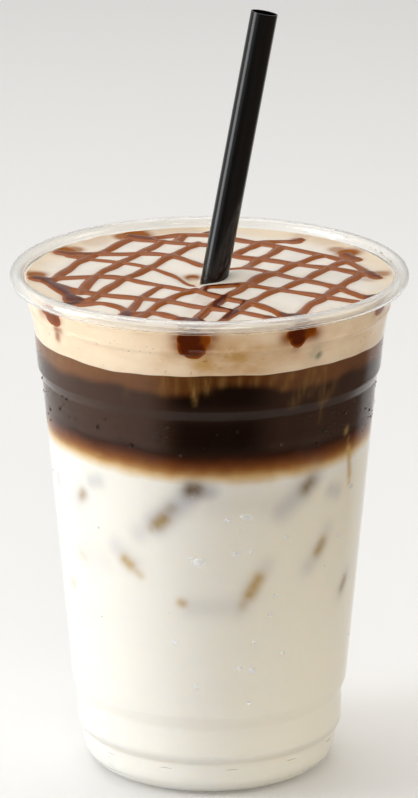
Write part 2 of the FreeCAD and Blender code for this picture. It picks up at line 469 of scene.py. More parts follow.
@dataclass(frozen=True)
class FoamFinish:
    """Fine foam: paler on top, stained by the sauce that lies on it."""

    name: str = "foam_finish"
    top_height: float = 124.2
    radius: float = 44.8

    def build(self) -> bpy.types.Material:
        """Material of the foam.

        Returns:
            The material.
        """
        tree = Tree(self.name)
        across, along, height = tree.axes()
        reach = (across * across + along * along).power(0.5)
        top = tree.ramp(height, self.top_height - 0.7, self.top_height + 0.3)
        edge = tree.ramp(reach + (tree.noise(9.0) - 0.5) * 7.0, self.radius - 9.0, self.radius)
        upper = tree.mix(Tone.FOAM_TOP, Tone.FOAM_EDGE, edge)
        upper = tree.mix(upper, Tone.ICE_HALO, ((tree.noise(12.0) - 0.5) * 0.8).clamp())
        blotch = tree.ramp(tree.noise(7.0, 3.0, (1.0, 1.0, 1.8)), 0.35, 0.7)
        side = tree.mix(Tone.FOAM_SIDE, Tone.FOAM_TAN, (tree.mask(Mask.TAN) * (0.5 + blotch * 0.6)).clamp())
        side = tree.mix(side, Tone.FOAM_TAN, blotch * 0.14)
        specks = tree.ramp(tree.noise(0.9, 1.0), 0.68, 0.76) * tree.ramp(tree.noise(6.0), 0.48, 0.62)
        side = tree.mix(side, Tone.COFFEE_TOP, specks * 0.5)
        side = tree.mix(side, Tone.ICE_GREY, tree.mask(Mask.ICE))
        colour = tree.mix(side, upper, top)
        colour = tree.mix(colour, Tone.STAIN, tree.mask(Mask.STAIN))
        relief = tree.noise(1.1, 3.0) * 0.6 + tree.noise(0.35, 1.0) * 0.4
        inputs = {
            "Base Color": colour,
            "Roughness": 0.45 + tree.noise(2.0) * 0.16,
            "Normal": tree.bump(relief, 0.10, 0.6),
            "Specular IOR Level": 0.07,
            "Subsurface Weight": 0.35,
            "Subsurface Radius": (1.0, 0.85, 0.7),
            "Subsurface Scale": 1.2 * MM,
        }
        return tree.finish(tree.principled(inputs))


@dataclass(frozen=True)
class SauceFinish:
    """Glossy chocolate and caramel sauce, darker where it lies thick."""

    name: str = "sauce_finish"
    roughness: float = 0.22
    thin: Tone = Tone.SAUCE
    gloss: float = 0.2

    def build(self) -> bpy.types.Material:
        """Material of the sauce.

        Returns:
            The material.
        """
        tree = Tree(self.name)
        depth = tree.ramp(tree.mask(Mask.DEPTH) + (tree.noise(5.0) - 0.5) * 0.3, 0.15, 1.0)
        inputs = {
            "Base Color": tree.mix(self.thin, Tone.SAUCE_DEEP, depth),
            "Roughness": self.roughness,
            "Normal": tree.bump(tree.noise(1.6), 0.05),
            "Specular IOR Level": self.gloss,
        }
        return tree.finish(tree.principled(inputs))


@dataclass(frozen=True)
class ClearFinish:
    """Clear stuff that bends light: the cup's plastic or water."""

    name: str
    tone: Tone
    ior: float
    roughness: float
    ripple: float
    clear: float = 1.0
    coat_from: float = 900.0
    frost: float = 0.0
    milky: float = 0.0

    def build(self) -> bpy.types.Material:
        """Material of the clear stuff, glossy and a little frosted above a height.

        Returns:
            The material.
        """
        tree = Tree(self.name)
        above = tree.ramp(tree.axes()[2], self.coat_from, self.coat_from + 0.8)
        normal = tree.bump(tree.noise(7.0, 1.0), self.ripple)
        inputs = {
            "Base Color": self.tone,
            "Roughness": above * self.frost + self.roughness,
            "IOR": self.ior,
            "Transmission Weight": self.clear,
            "Coat Weight": above,
            "Normal": normal,
        }
        shader = tree.principled(inputs)
        if self.milky:
            dull = tree.principled({"Base Color": self.tone, "Roughness": 0.3})
            shader = tree.blend(shader, dull, above * self.milky)
        return tree.finish_clear(shader)


@dataclass(frozen=True)
class StrawFinish:
    """Black moulded plastic with faint lengthwise drawing lines."""

    name: str = "straw_finish"

    def build(self) -> bpy.types.Material:
        """Material of the straw.

        Returns:
            The material.
        """
        tree = Tree(self.name)
        lines = tree.noise(0.5, 2.0, (1.0, 1.0, 0.02))
        colour = tree.mix(Tone.STRAW, Tone.COFFEE_MIST_SHEEN, (lines - 0.45).clamp() * 0.05)
        rough = 0.12 + lines * 0.1
        inputs = {"Base Color": colour, "Roughness": rough, "Normal": tree.bump(lines, 0.006), "IOR": 1.5}
        return tree.finish(tree.principled(inputs))


def new_object(
    name: str, points: np.ndarray, faces: Sequence, masks: dict[Mask, np.ndarray]
) -> bpy.types.Object:
    """Smooth closed mesh piece from points in millimetres.

    Args:
        name: name of the piece.
        points: one row of three coordinates for each point.
        faces: corner numbers of each face.
        masks: values carried on the points.

    Returns:
        The object, with its normals facing outward.
    """
    mesh = bpy.data.meshes.new(name)
    mesh.from_pydata((np.asarray(points) * MM).tolist(), [], faces)
    for mask, values in masks.items():
        layer = mesh.attributes.new(mask.value, "FLOAT", "POINT")
        layer.data.foreach_set("value", np.asarray(values, dtype=np.float32))
    work = bmesh.new()
    work.from_mesh(mesh)
    bmesh.ops.remove_doubles(work, verts=work.verts, dist=WELD)
    bmesh.ops.recalc_face_normals(work, faces=work.faces)
    work.to_mesh(mesh)
    work.free()
    mesh.polygons.foreach_set("use_smooth", [True] * len(mesh.polygons))
    mesh.set_sharp_from_angle(angle=math.radians(SHARP_ANGLE))
    mesh.update()
    piece = bpy.data.objects.new(name, mesh)
    bpy.context.scene.collection.objects.link(piece)
    return piece


def dress(piece: bpy.types.Object, material: bpy.types.Material, stands_for: str = "") -> None:
    """Give a piece its material and its place in the frame.

    Args:
        piece: the piece.
        material: its material.
        stands_for: name of the node that it replaces, if any.
    """
    piece.data.materials.clear()
    piece.data.materials.append(material)
    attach(piece, BODY)
    if stands_for:
        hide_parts(stands_for)
    LOG.info("%s: %d faces", piece.name, len(piece.data.polygons))


@dataclass
class Wall:
    """Inner face of the cup, measured on the solids that fill it."""

    thickness: float = 0.5
    heights: np.ndarray = field(init=False)
    radii: np.ndarray = field(init=False)

    def __post_init__(self) -> None:
        """Read radius and height from the filling."""
        spots = []
        for name in ("milk", "coffee", "foam"):
            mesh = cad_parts[name].data
            flat = np.empty(len(mesh.vertices) * 3)
            mesh.vertices.foreach_get("co", flat)
            spots.append(flat.reshape(-1, 3) / MM)
        points = np.vstack(spots)
        level = np.round(points[:, 2], 2)
        reach = np.hypot(points[:, 0], points[:, 1])
        self.heights = np.unique(level)
        widest = [reach[level == height].max() for height in self.heights]
        self.radii = np.maximum.accumulate(np.array(widest))

    def radius(self, height: np.ndarray | float) -> np.ndarray:
        """Inner radius at a height."""
        return np.interp(height, self.heights, self.radii)

    def outer(self, height: np.ndarray | float) -> np.ndarray:
        """Outer radius at a height."""
        return self.radius(height) + self.thickness


def around(count: int) -> np.ndarray:
    """Angles of a ring, starting at the front and going right, in radians."""
    return np.arange(count) * (2 * math.pi / count)


def ring(angles: np.ndarray, radius: np.ndarray | float, height: np.ndarray | float) -> np.ndarray:
    """Points of a level or wavy ring; angle zero is the front.

    Args:
        angles: directions of the points in radians.
        radius: distance from the axis in millimetres.
        height: height in millimetres.

    Returns:
        One row of three coordinates for each angle.
    """
    radius = np.broadcast_to(radius, angles.shape)
    height = np.broadcast_to(height, angles.shape)
    return np.stack([radius * np.sin(angles), -radius * np.cos(angles), height], 1)


def lathe(rings: Sequence[np.ndarray]) -> tuple[np.ndarray, list]:
    """Points and faces of a closed form through rings, its first and last a single point.

    Args:
        rings: rows of points, all of one length but the two poles.

    Returns:
        All points, and the faces between them.
    """
    faces: list = []
    start = 0
    for before, after in zip(rings, rings[1:]):
        follow = start + len(before)
        count = max(len(before), len(after))
        for index in range(count):
            turn = (index + 1) % count
            if len(before) == 1:
                faces.append((start, follow + index, follow + turn))
            elif len(after) == 1:
                faces.append((start + index, follow, start + turn))
            else:
                faces.append((start + index, follow + index, follow + turn, start + turn))
        start = follow
    return np.vstack(rings), faces


def pole(height: float) -> np.ndarray:
    """Single point on the axis."""
    return np.array([[0.0, 0.0, height]])


def turn_and_height(points: np.ndarray) -> tuple[np.ndarray, np.ndarray]:
    """Angle from the front in degrees, to the right positive, and height of points."""
    return np.degrees(np.arctan2(points[:, 0], -points[:, 1])), points[:, 2]


@dataclass(frozen=True)
class WallMark:
    """Soft mark on the wall: a short stroke at an angle and height."""

    turn: float
    height: float
    tilt: float = 0.0
    length: float = 0.0
    spread: float = 1.5
    dark: float = 0.0
    strength: float = 1.0

    def distance(self, turn: np.ndarray, height: np.ndarray, radius: float = 39.0) -> np.ndarray:
        """Distance of points on the wall from the stroke, in millimetres.

        Args:
            turn: angles of the points in degrees.
            height: their heights in millimetres.
            radius: radius at which angles are turned into lengths.

        Returns:
            A distance for each point.
        """
        apart = (turn - self.turn + 180) % 360 - 180
        across = np.radians(apart) * radius
        up = height - self.height
        lean = math.radians(self.tilt)
        along = across * math.cos(lean) + up * math.sin(lean)
        aside = up * math.cos(lean) - across * math.sin(lean)
        beyond = np.maximum(np.abs(along) - self.length / 2, 0)
        return np.hypot(beyond, aside)

    def shade(self, turn: np.ndarray, height: np.ndarray) -> np.ndarray:
        """Strength of the mark at points on the wall."""
        return self.strength * np.exp(-((self.distance(turn, height) / self.spread) ** 2))


def gather(marks: Sequence[WallMark], points: np.ndarray) -> np.ndarray:
    """Strongest of several marks at each point.

    Args:
        marks: the marks.
        points: rows of three coordinates in millimetres.

    Returns:
        A strength from 0 to 1 for each point.
    """
    turn, height = turn_and_height(points)
    total = np.zeros(len(points))
    for mark in marks:
        total = np.maximum(total, mark.shade(turn, height))
    return total


def mist_and_sheen(points: np.ndarray) -> np.ndarray:
    """Lightening of the coffee away from the front, stronger to the left: partly mist on the wall, partly
    painted reflection and painted light from the left.

    Args:
        points: rows of three coordinates in millimetres.

    Returns:
        A strength from 0 to 1 for each point.
    """
    turn, height = turn_and_height(points)
    # lighter away from the front: painted reflection of the bright sides and painted key light on the left,
    # with mist
    side = np.clip((np.abs(turn - 2.0) - 9.0) / 16.0, 0, 1)
    side = side * side * (3 - 2 * side)
    left = 0.72 + 0.28 * np.clip(-turn / 60, 0, 1)
    right = 0.42 + 0.3 * np.clip(turn / 70, 0, 1)
    strength = np.where(turn < 2, left, right)
    # painted reflection: a light band along the cup's ridge at about 102.4 mm
    band = 0.34 * np.exp(-(((height - 102.4) / 1.9) ** 2)) * (1 - side)
    low = 0.22 * np.clip((94.5 - height) / 3, 0, 1)
    return np.clip(side * strength + band + low, 0, 1)


@dataclass
class IcePieces:
    """Ice sunk in the milk: rounded blocks, each with one edge just inside the wall."""

    wall: Wall
    size: float = 14.0
    rounding: float = 3.0
    cells: int = 20
    press: float = -0.01
    seed: int = 7
    marks: tuple[WallMark, ...] = (
        WallMark(-5.6, 83.0, 8, 1.0, 2.2, 0.85, 0.9),
        WallMark(-17.6, 74.2, 46, 2.2, 1.7, 0.25, 0.85),
        WallMark(-15.0, 76.8, 50, 3.0, 1.5, 0.5, 0.4),
        WallMark(-20.4, 72.6, 46, 1.6, 1.3, 0.3, 0.35),
        WallMark(-52.6, 76.6, 46, 1.2, 1.3, 0.3, 0.6),
        WallMark(-31.8, 62.0, -36, 2.0, 1.5, 0.0, 0.75),
        WallMark(-28.0, 59.9, -36, 2.6, 1.1, 0.0, 0.4),
        WallMark(-56.0, 60.2, -20, 1.6, 1.6, 0.0, 0.16),
        WallMark(-65.8, 50.8, 0, 1.0, 1.4, 0.0, 0.25),
        WallMark(-10.4, 53.0, -20, 0.8, 1.1, 0.0, 0.65),
        WallMark(16.9, 57.0, 61, 4.4, 1.7, 0.0, 0.85),
        WallMark(13.6, 53.4, 61, 2.4, 1.4, 0.0, 0.4),
        WallMark(37.4, 81.6, 42, 1.8, 2.0, 0.65, 0.72),
        WallMark(45.4, 64.2, 55, 2.4, 1.6, 0.2, 0.72),
        WallMark(63.4, 51.2, 55, 2.0, 1.3, 0.3, 0.65),
    )
    halos: tuple[WallMark, ...] = (
        WallMark(-2.8, 82.4, 0, 4.0, 2.6, 0.0, 0.75),
        WallMark(-13.0, 77.6, 42, 12.0, 3.3, 0.0, 0.75),
        WallMark(-24.0, 71.6, 42, 4.0, 2.8, 0.0, 0.35),
        WallMark(-45.0, 81.4, 15, 2.6, 2.1, 0.0, 0.5),
        WallMark(-72.0, 77.0, 90, 1.6, 2.1, 0.0, 0.45),
        WallMark(-53.6, 76.0, 40, 3.6, 2.4, 0.0, 0.4),
        WallMark(31.0, 78.4, 36, 7.0, 3.4, 0.0, 0.6),
        WallMark(38.6, 82.0, 36, 3.0, 3.2, 0.0, 0.5),
        WallMark(25.0, 78.0, 0, 6.0, 4.0, 0.0, 0.25),
        WallMark(51.0, 78.0, -20, 2.6, 2.4, 0.0, 0.5),
        WallMark(2.0, 52.0, 0, 12.0, 3.0, 0.0, 0.3),
        WallMark(-7.0, 52.6, -20, 2.0, 1.8, 0.0, 0.3),
        WallMark(14.0, 53.8, 55, 6.0, 3.0, 0.0, 0.35),
        WallMark(19.6, 60.0, 60, 5.0, 2.6, 0.0, 0.3),
        WallMark(43.0, 62.0, 50, 6.0, 2.8, 0.0, 0.4),
        WallMark(48.0, 67.4, 50, 2.0, 2.4, 0.0, 0.3),
        WallMark(-33.0, 63.6, -36, 6.0, 2.8, 0.0, 0.35),
        WallMark(64.0, 51.4, 50, 4.0, 2.8, 0.0, 0.4),
        WallMark(-48.0, 61.0, 0, 6.0, 4.0, 0.0, 0.16),
        WallMark(8.0, 79.0, 0, 10.0, 4.0, 0.0, 0.2),
    )

    def hidden_side(self) -> list[WallMark]:
        """More marks round the back, like those in front.

        Returns:
            The marks.
        """
        draw = np.random.default_rng(self.seed)
        found = []
        for turn in np.arange(88.0, 272.0, 17.0):
            height = draw.uniform(50, 84)
            tilt = draw.uniform(-50, 70)
            length, dark = draw.uniform(2, 6), draw.uniform(0, 0.8)
            strength = draw.uniform(0.4, 0.85)
            found.append(WallMark(turn, height, tilt, length, 1.3, dark, strength))
        return found

    def all_marks(self) -> list[WallMark]:
        """Marks in front and at the back."""
        return list(self.marks) + self.hidden_side()

    def all_halos(self) -> list[WallMark]:
        """Grey surrounds of all marks."""
        back = [WallMark(m.turn, m.height, m.tilt, m.length + 3, 3.2, 0, 0.5) for m in self.hidden_side()]
        return list(self.halos) + back

    def cube(self) -> tuple[np.ndarray, list]:
        """Evenly divided block with rounded edges, round its own middle.

        Returns:
            Points in millimetres and faces.
        """
        count = self.cells + 1
        side = np.linspace(-0.5, 0.5, count) * self.size
        first, second = (grid.ravel() for grid in np.meshgrid(side, side))
        points, faces = [], []
        for axis in range(3):
            for way in (-0.5, 0.5):
                sheet = np.empty((count * count, 3))
                sheet[:, axis] = way * self.size
                sheet[:, (axis + 1) % 3] = first
                sheet[:, (axis + 2) % 3] = second
                start = len(points) * count * count
                number = start + np.arange(count * count).reshape(count, count)
                quads = np.stack([number[:-1, :-1], number[:-1, 1:], number[1:, 1:], number[1:, :-1]], -1)
                faces += [tuple(quad) for quad in quads.reshape(-1, 4).tolist()]
                points.append(sheet)
        box = np.vstack(points)
        limit = self.size / 2 - self.rounding
        core = np.clip(box, -limit, limit)
        away = box - core
        length = np.maximum(np.linalg.norm(away, axis=1, keepdims=True), 1e-9)
        return core + away / length * self.rounding, faces

    def block(self, mark: WallMark) -> tuple[np.ndarray, list]:
        """Rounded block with one edge on the wall along a mark.

        Args:
            mark: where the edge touches.

        Returns:
            Points in millimetres and faces.
        """
        local, faces = self.cube()
        turned = local @ self.edge_out().T
        angle, lean = math.radians(mark.turn), math.radians(mark.tilt)
        out = np.array([math.sin(angle), -math.cos(angle), 0.0])
        side = np.array([math.cos(angle), math.sin(angle), 0.0])
        up = np.array([0.0, 0.0, 1.0])
        along = side * math.cos(lean) + up * math.sin(lean)
        basis = np.stack([along, np.cross(along, out), out], 1)
        places = turned @ basis.T
        best = -99.0
        for corner in places[turned[:, 2] > turned[:, 2].max() - 3.0]:
            height = mark.height + corner[2]
            low = float(self.wall.radius(height)) + INTO_WALL
            sideways = corner - out * (corner @ out) - up * corner[2]
            best = max(best, float(corner @ out) - math.sqrt(max(low**2 - sideways @ sideways, 0.0)))
        return places + out * (self.press - best) + up * mark.height, faces

    @staticmethod
    def edge_out() -> np.ndarray:
        """Rotation that turns one edge of a block to face outward, along the first axis."""
        part = math.sqrt(0.5)
        return np.array([[1, 0, 0], [0, part, -part], [0, part, part]])

    def masks(self, points: np.ndarray) -> dict[Mask, np.ndarray]:
        """How ice marks the milk at points on or near the wall.

        Args:
            points: rows of three coordinates in millimetres.

        Returns:
            The masks of the ice and their values.
        """
        marks = self.all_marks()
        turn, height = turn_and_height(points)
        shades = [mark.shade(turn, height) for mark in marks]
        weight = sum(shades)
        dark = sum(shade * mark.dark for shade, mark in zip(shades, marks))
        return {
            Mask.ICE: np.maximum.reduce(shades),
            Mask.DARK: dark / np.maximum(weight, 1e-6),
            Mask.HALO: gather(self.all_halos(), points),
        }

    def build(self, material: bpy.types.Material) -> bpy.types.Object:
        """One mesh of all blocks.

        Args:
            material: finish shared with the milk.

        Returns:
            The piece.
        """
        points, faces = [], []
        start = 0
        for mark in self.all_marks():
            if mark.strength < 0.6:
                continue
            corners, sides = self.block(mark)
            points.append(corners)
            faces += [tuple(number + start for number in side) for side in sides]
            start += len(corners)
        places = np.vstack(points)
        piece = new_object("ice_pieces", places, faces, self.masks(places))
        dress(piece, material)
        return piece


@dataclass
class Milk:
    """Milk at the bottom of the cup, over the raised floor."""

    wall: Wall
    ice: IcePieces
    floor_height: float = 5.3
    floor_radius: float = 22.4
    ring_inner: float = 24.4
    ring_outer: float = 25.5
    ring_height: float = 0.7
    level: float = MILK_LEVEL
    wall_level: float = MILK_AT_WALL
    lap: float = 2.5
    segments: int = 360
    step: float = 0.55
    streaks: tuple[WallMark, ...] = (
        WallMark(58.4, 86.4, -72, 3.0, 0.9, 0, 0.85),
        WallMark(59.6, 82.6, -78, 5.0, 0.9, 0, 0.8),
        WallMark(60.4, 79.0, 90, 2.0, 0.7, 0, 0.5),
        WallMark(55.4, 92.9, 84, 1.0, 0.8, 0, 0.55),
        WallMark(57.2, 89.6, 84, 2.0, 0.5, 0, 0.3),
        WallMark(-42.0, 88.9, 10, 1.4, 0.4, 0, 0.3),
        WallMark(15.0, 85.4, 0, 9.0, 1.6, 0, 0.36),
        WallMark(34.0, 85.8, 0, 5.0, 1.2, 0, 0.2),
    )

    def rings(self) -> list[np.ndarray]:
        """Rows of points from the middle of the floor to the middle of the top.

        Returns:
            The rows, each one ring or a single point.
        """
        angles = around(self.segments)
        under = self.floor_height - INTO_WALL
        low = self.ring_height - INTO_WALL
        rows = [pole(under)]
        rows += [ring(angles, self.floor_radius * share, under) for share in (0.5, 1.0)]
        rows += [ring(angles, self.ring_inner, low), ring(angles, self.ring_outer, low)]
        count = int((self.wall_level - self.ring_height) / self.step)
        for height in np.linspace(self.ring_height + 0.02, self.wall_level, count):
            rows.append(ring(angles, self.wall.radius(height) + INTO_WALL, height))
        inner = self.wall.radius(self.level) - self.lap
        rows += [ring(angles, inner, self.level), ring(angles, inner * 0.5, self.level), pole(self.level)]
        return rows

    def build(self, material: bpy.types.Material) -> bpy.types.Object:
        """The milk, marked where ice touches the wall.

        Args:
            material: finish shared with the ice.

        Returns:
            The piece.
        """
        points, faces = lathe(self.rings())
        masks = self.ice.masks(points) | {Mask.STREAK: gather(self.streaks, points), Mask.MIST_AND_SHEEN: mist_and_sheen(points)}
        piece = new_object("milk_body", points, faces, masks)
        dress(piece, material, "milk")
        return piece


def foam_foot(angles: np.ndarray) -> np.ndarray:
    """Height of the slightly wavy line between coffee and foam."""
    waves = ((0.28, 3, 0.6), (0.18, 7, 1.9), (0.1, 13, 0.3), (0.06, 29, 2.2))
    return FOAM_FOOT + sum(size * np.sin(count * angles + shift) for size, count, shift in waves)


@dataclass
class Coffee:
    """Coffee between the milk and the foam."""

    wall: Wall
    low: float = MILK_LEVEL
    wall_low: float = MILK_AT_WALL
    lap: float = 2.5
    segments: int = 480
    rows: int = 44
    crema: tuple[WallMark, ...] = (
        WallMark(-15.0, 110.2, 78, 4.0, 1.5, 0, 0.28),
        WallMark(-10.5, 110.6, 84, 3.6, 1.2, 0, 0.33),
        WallMark(-6.0, 110.6, 88, 2.4, 1.2, 0, 0.40),
        WallMark(-5.4, 110.8, 86, 1.0, 1.3, 0, 0.55),
        WallMark(-5.1, 109.4, 86, 1.0, 0.95, 0, 0.65),
        WallMark(-4.9, 107.9, 86, 1.0, 0.7, 0, 0.8),
        WallMark(-4.7, 106.5, 86, 0.8, 0.5, 0, 0.75),
        WallMark(-4.6, 105.3, 86, 0.6, 0.4, 0, 0.5),
        WallMark(-0.8, 110.3, 84, 1.8, 1.3, 0, 0.5),
        WallMark(4.0, 111.2, 80, 1.0, 1.1, 0, 0.4),
        WallMark(9.4, 111.4, 76, 0.8, 1.1, 0, 0.34),
        WallMark(15.0, 111.2, 72, 1.2, 1.1, 0, 0.3),
        WallMark(21.0, 110.9, 70, 2.0, 1.0, 0, 0.26),
        WallMark(26.0, 109.8, 60, 3.6, 1.0, 0, 0.33),
        WallMark(31.0, 106.8, 62, 6.4, 1.3, 0, 0.28),
        WallMark(35.0, 110.2, 84, 2.8, 1.4, 0, 0.33),
        WallMark(36.5, 107.4, 60, 4.0, 1.0, 0, 0.24),
        WallMark(40.0, 107.0, 88, 9.0, 0.8, 0, 0.36),
        WallMark(40.8, 100.0, 88, 5.0, 0.8, 0, 0.16),
        WallMark(44.0, 105.4, 60, 6.0, 1.1, 0, 0.17),
        WallMark(-62.0, 110.4, 0, 12.0, 1.6, 0, 0.22),
        WallMark(-44.0, 110.6, 0, 8.0, 1.4, 0, 0.13),
        WallMark(-27.6, 107.4, 84, 3.0, 0.9, 0, 0.08),
        WallMark(120.0, 109.5, 86, 5.0, 1.4, 0, 0.40),
        WallMark(165.0, 110.0, 88, 4.0, 1.6, 0, 0.33),
        WallMark(205.0, 109.0, 84, 6.0, 1.3, 0, 0.40),
        WallMark(240.0, 110.3, 80, 3.0, 1.4, 0, 0.33),
    )

    def upper(self, points: np.ndarray) -> np.ndarray:
        """Where the coffee is paler under the foam.

        Args:
            points: rows of three coordinates in millimetres.

        Returns:
            A share from 0 to 1 for each point.
        """
        turn, height = turn_and_height(points)
        edge = 106.9 + 1.9 * np.exp(-(((turn - 8) / 9.5) ** 2)) - 0.7 * np.exp(-(((turn + 14) / 4.5) ** 2))
        edge = edge + 0.45 * np.sin(turn * 0.14) + 0.3 * np.sin(turn * 0.37 + 1)
        share = np.clip((height - edge) / 2.6, 0, 1)
        return share * share * (3 - 2 * share)

    def build(self) -> bpy.types.Object:
        """The coffee, its top edge following the foot of the foam.

        Returns:
            The piece.
        """
        angles = around(self.segments)
        top = foam_foot(angles)
        inner = self.wall.radius(self.low) - self.lap
        rows = [pole(self.low), ring(angles, inner * 0.5, self.low), ring(angles, inner, self.low)]
        for share in np.linspace(0, 1, self.rows):
            height = self.wall_low + (top - self.wall_low) * share
            rows.append(ring(angles, self.wall.radius(height) + INTO_WALL, height))
        rows += [ring(angles, self.wall.radius(CAP_LEVEL) * 0.5, FOAM_FOOT), pole(FOAM_FOOT)]
        points, faces = lathe(rows)
        masks = {
            Mask.CREMA: gather(self.crema, points),
            Mask.MIST_AND_SHEEN: mist_and_sheen(points),
            Mask.UPPER: self.upper(points),
        }
        piece = new_object("coffee_body", points, faces, masks)
        dress(piece, CoffeeFinish().build(), "coffee")
        return piece


@dataclass(frozen=True)
class SauceLine:
    """One run of sauce on the foam, through a few points, with half its width."""

    points: tuple[tuple[float, float], ...]
    half: float = 1.25
    dark: float = 0.12

    def path(self, per_span: int = 7) -> np.ndarray:
        """Smooth curve through the points.

        Args:
            per_span: steps between two of the points.

        Returns:
            Rows of two coordinates in millimetres.
        """
        knots = np.array(self.points, dtype=float)
        padded = np.vstack([2 * knots[0] - knots[1], knots, 2 * knots[-1] - knots[-2]])
        steps = np.linspace(0, 1, per_span, endpoint=False)[:, None]
        runs = []
        for index in range(1, len(padded) - 2):
            before, start, end, after = padded[index - 1 : index + 3]
            curve = 2 * start + (end - before) * steps
            curve = curve + (2 * before - 5 * start + 4 * end - after) * steps**2
            curve = curve + (3 * start - before - 3 * end + after) * steps**3
            runs.append(curve / 2)
        runs.append(knots[-1:])
        return np.vstack(runs)


Embed = Callable[[np.ndarray, np.ndarray, np.ndarray], np.ndarray]


@dataclass
class SauceField:
    """Thickness and darkness of sauce over a flat sheet of points."""

    across: np.ndarray
    along: np.ndarray
    thick: float
    sink: float = 0.3
    lift: np.ndarray = field(init=False)
    dark: np.ndarray = field(init=False)
    near: np.ndarray = field(init=False)

    def __post_init__(self) -> None:
        """Start with no sauce."""
        self.lift = np.full(self.across.shape, -1.0)
        self.dark = np.zeros(self.across.shape)
        self.near = np.full(self.across.shape, 99.0)

    def add(self, line: SauceLine) -> None:
        """Lay one run of sauce.

        Args:
            line: the run, or a single blob.
        """
        path = line.path() if len(line.points) > 1 else np.array(line.points * 2, dtype=float)
        sway = 1 + 0.16 * np.sin(np.arange(len(path)) * 0.63 + path[0, 0])
        ratio = np.full(self.across.shape, 99.0)
        gap = np.full(self.across.shape, 99.0)
        for index in range(len(path) - 1):
            start, end = path[index], path[index + 1]
            span = end - start
            reach = (self.across - start[0]) * span[0] + (self.along - start[1]) * span[1]
            share = np.clip(reach / max(float(span @ span), 1e-9), 0, 1)
            away = np.hypot(self.across - start[0] - share * span[0], self.along - start[1] - share * span[1])
            gap = np.minimum(gap, away - line.half)
            ratio = np.minimum(ratio, away / (line.half * sway[index]))
        height = self.thick * math.sqrt(line.half) * np.sqrt(np.clip(1 - ratio**2, 0, 1))
        lift = np.where(ratio < 1, height, -(ratio - 1) * 0.6)
        self.dark = np.maximum(self.dark, line.dark * np.clip(1.3 - ratio, 0, 1))
        self.near = np.minimum(self.near, gap)
        self.lift = np.maximum(self.lift, lift)

    def settle(self, rounds: int = 2) -> None:
        """Let crossings run together.

        Args:
            rounds: how often the sheet is evened out.
        """
        for _ in range(rounds):
            for axis in (0, 1):
                before, after = np.roll(self.lift, 1, axis), np.roll(self.lift, -1, axis)
                self.lift = self.lift * 0.5 + (before + after) * 0.25
        self.lift = np.maximum(self.lift, -self.sink)

    def skin(self, name: str, embed: Embed) -> bpy.types.Object:
        """Closed skin over the cells that hold sauce.

        Args:
            name: name of the piece.
            embed: turns sheet coordinates and lift into points in millimetres.

        Returns:
            The piece.
        """
        rows, cols = self.lift.shape
        corners = [self.lift[:-1, :-1], self.lift[:-1, 1:], self.lift[1:, 1:], self.lift[1:, :-1]]
        keep = np.maximum.reduce(corners) > 0
        number = np.arange(rows * cols).reshape(rows, cols)
        quads = np.stack([number[:-1, :-1], number[:-1, 1:], number[1:, 1:], number[1:, :-1]], -1)[keep]
        used, flat = np.unique(quads, return_inverse=True)
        quads = flat.reshape(-1, 4)
        total = len(used)
        u, v, lift = (item.ravel()[used] for item in (self.across, self.along, self.lift))
        upper = embed(u, v, lift)
        lower = embed(u, v, np.full(total, -self.sink * 1.6))
        faces = [tuple(quad) for quad in quads.tolist()]
        faces += [tuple(corner + total for corner in reversed(quad)) for quad in quads.tolist()]
        edges = {}
        for quad in quads.tolist():
            for start, end in zip(quad, quad[1:] + quad[:1]):
                edges[(start, end)] = True
        open_edges = [(start, end) for start, end in edges if (end, start) not in edges]
        faces += [(end, start, start + total, end + total) for start, end in open_edges]
        thickness = np.clip(lift / self.thick, 0, 1) * 0.3
        depth = np.clip(thickness + self.dark.ravel()[used], 0, 1)
        masks = {Mask.DEPTH: np.concatenate([depth, depth])}
        return new_object(name, np.vstack([upper, lower]), faces, masks)


